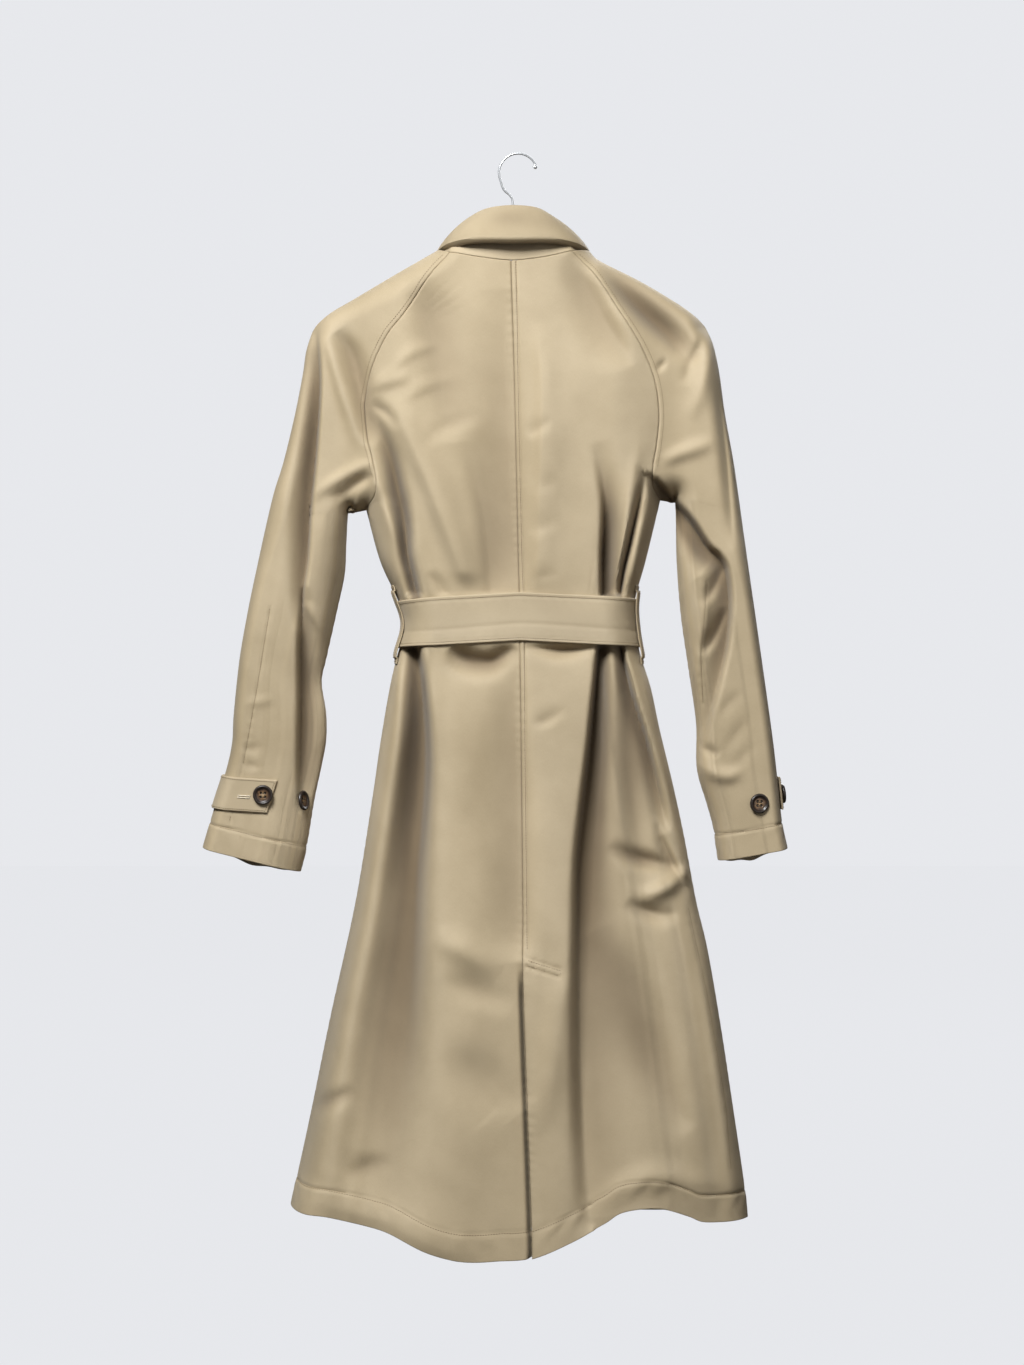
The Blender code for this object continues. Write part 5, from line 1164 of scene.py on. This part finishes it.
# the buckle: a squarish round section carried round a rectangle with rounded corners, and a straight prong
turn = np.linspace(0, np.pi / 2, 9)
half, bend = np.array([BUCKLE["width"] / 2, BUCKLE["height"] / 2]), BUCKLE["round"]
rim = np.vstack([np.stack([sx * (half[0] - bend) + bend * np.cos(turn + k * np.pi / 2),
                           sz * (half[1] - bend) + bend * np.sin(turn + k * np.pi / 2)], 1)
                 for k, (sx, sz) in enumerate(((1, 1), (-1, 1), (-1, -1), (1, -1)))])
hole = rim * (half - BUCKLE["bar"]) / half
section = np.linspace(0, 2 * np.pi, 20, endpoint=False)
wave = np.sign(np.cos(section)) * np.abs(np.cos(section)) ** 0.6
rise = np.sign(np.sin(section)) * np.abs(np.sin(section)) ** 0.6
ring = (rim + hole)[None] / 2 + wave[:, None, None] * (rim - hole)[None] / 2
face_y = tongue_face[..., 1].max() + 0.4
buckle_z = middle_row[ahead, 2].mean()
frame_y = face_y + BUCKLE["depth"] / 2 * (1 + rise[:, None] + 0 * ring[..., 0])
frame_points = np.stack([BUCKLE["x"] + ring[..., 0], frame_y, buckle_z + ring[..., 1]], -1)
index = np.arange(frame_points[..., 0].size).reshape(frame_points.shape[:2])
buckle = piece("buckle_frame", frame_points.reshape(-1, 3), quads(np.vstack([index, index[:1]]), True),
               horn, np.full((index.size, 2), 0.75))
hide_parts("belt_buckle")
prong_line = np.array([(BUCKLE["x"] + PRONG_REACH - 2 * PRONG_REACH * t,
                        face_y + BUCKLE["depth"] + PRONG_LIFT, buckle_z) for t in np.linspace(0, 1, 9)])
prong = rod("buckle_prong_rod", prong_line, PRONG_RADIUS, horn, 14)
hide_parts("buckle_prong")

# ---------------------------------------------------------------------------------------------------
# Tabs and buttons: a doubled strap round each cuff with stitched edges, the left one with a buttonhole,
# horn-look four-hole buttons with a raised rim on the tabs and beside them, and a row down the front.
# ---------------------------------------------------------------------------------------------------
TABS = {"left": {"top": -714.0, "bottom": -752.0, "back": 88.0, "front": 45.0, "tilt": 7.0, "spare": -251.0,
                 "spare out": 4.0, "spare turn": 0.4},
        "right": {"top": -716.0, "bottom": -754.0, "back": 10.0, "front": 95.0, "tilt": -2.0, "spare": 275.0,
                  "spare out": 1.8, "spare turn": 0.2}}
TAB_CLOTH = 2.4
TAB_OUT = 2.9
TAB_STITCH = 3.2
TAB_BUTTON_CELL = (9, 10)
BUTTONHOLE = (-320.0, -304.0)
BUTTON_RADIUS = 11.5
BUTTON_HEIGHT = 4.0
BUTTON_PROFILE = ((0, 0.50), (0.55, 0.52), (0.66, 0.62), (0.76, 0.92), (0.84, 1.0), (0.93, 0.93),
                  (0.99, 0.62), (1.0, 0.45), (0.97, 0.16), (0.88, 0.0), (0.4, 0.0), (0.0, 0.0))
HOLES = ((2.2, 2.2), (-2.2, 2.2), (-2.2, -2.2), (2.2, -2.2))
HOLE_RADIUS = 1.7
HOLE_DEPTH = 1.7
TAB_BUTTON_X = -291.0
TAB_BUTTON_OUT = 4.5
FRONT_BUTTON_X = -3.0
FRONT_BUTTON_OUT = 3.4
FRONT_BUTTONS = (-262.0, -368.0, -470.0, -660.0, -790.0)


def tab_grid(side, sizes, rows, columns):
    """Rows of a sleeve's own ring at even heights, cut to the tab's length behind and ahead of its outer
    edge."""
    inside = EDGES["inside " + side]
    inside = inside[inside[:, 1] < -500.0]
    spread = 0.5 - 0.5 * np.cos(np.pi * np.linspace(0, 1, 120))
    grid = []
    for height in np.linspace(sizes["top"], sizes["bottom"], rows):
        outer_x, inner_z = float(at_height(EDGES["arm " + side], height)), height - sizes["tilt"]
        x = outer_x + (float(at_height(inside, inner_z)) - outer_x) * spread
        z = height + (inner_z - height) * spread
        behind, ahead = hang(x, z, -1, True, False), hang(x, z, 1, True, False)
        behind[0] = forward_of(z[0])
        ring = np.vstack([np.stack([x, behind, z], 1)[::-1], np.stack([x, ahead, z], 1)[1:]])
        centre = lengths(ring)[len(spread)]
        grid.append(at_length(ring, np.linspace(centre - sizes["back"], centre + sizes["front"], columns)))
    return np.array(grid)


def button(name, place, normal, node):
    """Turned button: rings of a dished profile with a raised rim, less four round holes, and thread bars."""
    profile = np.array(BUTTON_PROFILE)
    steps = np.concatenate([np.linspace(0, 1, 16), np.linspace(1, 7, 18)[1:], np.linspace(7, 11, 6)[1:]])
    share, rise = (np.interp(steps, range(len(profile)), column) for column in profile.T)
    turn = np.linspace(0, 2 * np.pi, 60, endpoint=False)
    u = BUTTON_RADIUS * share[:, None] * np.cos(turn)
    v = BUTTON_RADIUS * share[:, None] * np.sin(turn)
    rise, painted_hole_shade = rise[:, None] * BUTTON_HEIGHT + 0 * u, 0 * u
    for cu, cv in HOLES:
        pit = smooth((HOLE_RADIUS - np.hypot(u - cu, v - cv)) / 0.5) * (steps < 2)[:, None]
        rise, painted_hole_shade = rise - HOLE_DEPTH * pit, painted_hole_shade + pit
    across = unit(np.cross(normal, [0.0, 0.0, 1.0]))
    up = np.cross(normal, across)
    points = place + u[..., None] * across + v[..., None] * up + rise[..., None] * normal
    index = np.arange(points[..., 0].size).reshape(points.shape[:2])
    # painted shade: the holes' radius is set past the rim, so the horn colours paint them nearly black
    uv = np.stack([share[:, None] + painted_hole_shade, steps[:, None] + 0 * u], -1).reshape(-1, 2)
    made = piece(name, points.reshape(-1, 3), quads(index, True), horn, uv)
    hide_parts(node)
    bars = []
    for cv in (2.0, -2.0):
        reach = np.linspace(-2.3, 2.3, 9)
        lift = 2.15 + 0.35 * (1 - (reach / 2.3) ** 2) - 0.9 * (np.abs(reach) > 2.0)
        path = place + reach[:, None] * across + cv * up + lift[:, None] * normal
        bars.append((path, np.repeat(normal[None], 9, 0)))
    return bars


button_thread, tab_lines = [], []
for side, sizes in TABS.items():
    sign = np.array([-1.0 if side == "left" else 1.0, -0.5, 0.0])
    grid = tab_grid(side, sizes, 18, 66)
    tab = rimmed(grid + out_of(grid, sign) * TAB_OUT)
    made, face = shell("sleeve_tab_%s_cloth" % side, tab, sign, TAB_CLOTH, khaki_belt, 1.2)
    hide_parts("sleeve_tab_" + side)
    tab_lines += [along_edge(face, sign, axis, end, TAB_STITCH, slice(RIM, -RIM))
                  for axis, end in ((0, 0), (0, -1), (1, 0))]
    height = (sizes["top"] + sizes["bottom"]) / 2 - 2
    if side == "left":
        (place,), (normal,) = on_cloth((TAB_BUTTON_X, height), -1, True, 0.0)
        row, facings = len(face) // 2, out_of(face, sign)
        x, y = face[row, :, 0], face[row, :, 1]
        slit = (x > BUTTONHOLE[0]) & (x < BUTTONHOLE[1]) & (y < 0)
        hole = [(face[k][slit], facings[k][slit]) for k in (row, row + 1)]
    else:
        place, normal = grid[TAB_BUTTON_CELL], out_of(grid, sign)[TAB_BUTTON_CELL]
    button_thread += button("tab_button_%s_turned" % side, place + normal * TAB_BUTTON_OUT, normal,
                            "tab_button_" + side)
    (place,), (normal,) = on_cloth((sizes["spare"], height - 8.0), -1, True, 0.0)
    button_thread += button("spare_button_%s_turned" % side, place + normal * sizes["spare out"],
                            unit(normal + (sizes["spare turn"], 0.0, 0.0)), "spare_button_" + side)
for number, height in enumerate(FRONT_BUTTONS, 1):
    (place,), (normal,) = on_cloth((FRONT_BUTTON_X, height), 1, out=0.0)
    button_thread += button("front_button_%d_turned" % number, place + normal * FRONT_BUTTON_OUT, normal,
                            "front_button_%d" % number)
stitching("tab_buttonhole", hole, pale_thread, pitch=0.6, thread=1.3, width=1.7, rise=0.35)
stitching("tab_stitching", tab_lines, thread, pitch=2.6)
stitching("button_thread", button_thread, thread, pitch=0.8, thread=1.3, width=1.0, rise=0.0)

# ---------------------------------------------------------------------------------------------------
# Floor, light and camera: a pale floor and world, a soft window light from the upper left, a weak fill
# from the right, and a large lamp on the far side for the coat's front.
# ---------------------------------------------------------------------------------------------------
floor_mesh = bpy.data.meshes.new("pale_floor")
floor_mesh.from_pydata([(-9, -9, -1.45), (9, -9, -1.45), (9, 9, -1.45), (-9, 9, -1.45)], [], [(0, 1, 2, 3)])
floor_mesh.materials.append(shader("pale_floor", (0.006, 0.006, 0.006), 1.0, Specular_IOR_Level=0.0,
                                   Emission_Color=(0.788, 0.798, 0.828, 1.0), Emission_Strength=1.0))
floor = bpy.data.objects.new("pale_floor", floor_mesh)
bpy.context.scene.collection.objects.link(floor)
floor.visible_diffuse = floor.visible_glossy = False

world = bpy.data.worlds.new("pale_room")
world.use_nodes = True
background = world.node_tree.nodes["Background"]
background.inputs["Color"].default_value = (0.80, 0.81, 0.84, 1.0)
seen = add_node(world.node_tree, "ShaderNodeLightPath").outputs["Is Camera Ray"]
strength = add_node(world.node_tree, "ShaderNodeMapRange", {"Value": seen, "To Min": 0.035, "To Max": 1.0})
world.node_tree.links.new(strength.outputs["Result"], background.inputs["Strength"])
bpy.context.scene.world = world


def lamp(name, place, target, size, power, colour=(1.0, 1.0, 1.0)):
    """Square soft light that looks at a point."""
    data = bpy.data.lights.new(name, "AREA")
    data.energy, data.size, data.color = power, size, colour
    made = bpy.data.objects.new(name, data)
    bpy.context.scene.collection.objects.link(made)
    made.location = place
    made.rotation_euler = (Vector(target) - Vector(place)).to_track_quat("-Z", "Y").to_euler()
    return made


lamp("window_light", (-1.0, -2.5, 1.75), (0.0, 0.0, -0.6), 1.3, 222.0, (0.96, 0.985, 1.0))
lamp("fill_light", (1.7, -2.7, -0.3), (0.0, 0.0, -0.7), 2.6, 20.0, (1.0, 0.98, 0.95))
lamp("front_light", (0.6, 3.4, 1.4), (0.0, 0.0, -0.6), 3.4, 165.0)

camera = bpy.data.objects.new("camera", bpy.data.cameras.new("camera"))
bpy.context.scene.collection.objects.link(camera)
camera.location = (-0.007, -3.0, -0.607)
camera.rotation_euler = (np.pi / 2, 0.0, 0.0)
camera.data.sensor_fit = "VERTICAL"
camera.data.sensor_height = 36.0
camera.data.lens = 68.8
bpy.context.scene.camera = camera
bpy.context.scene.view_settings.view_transform = "Standard"
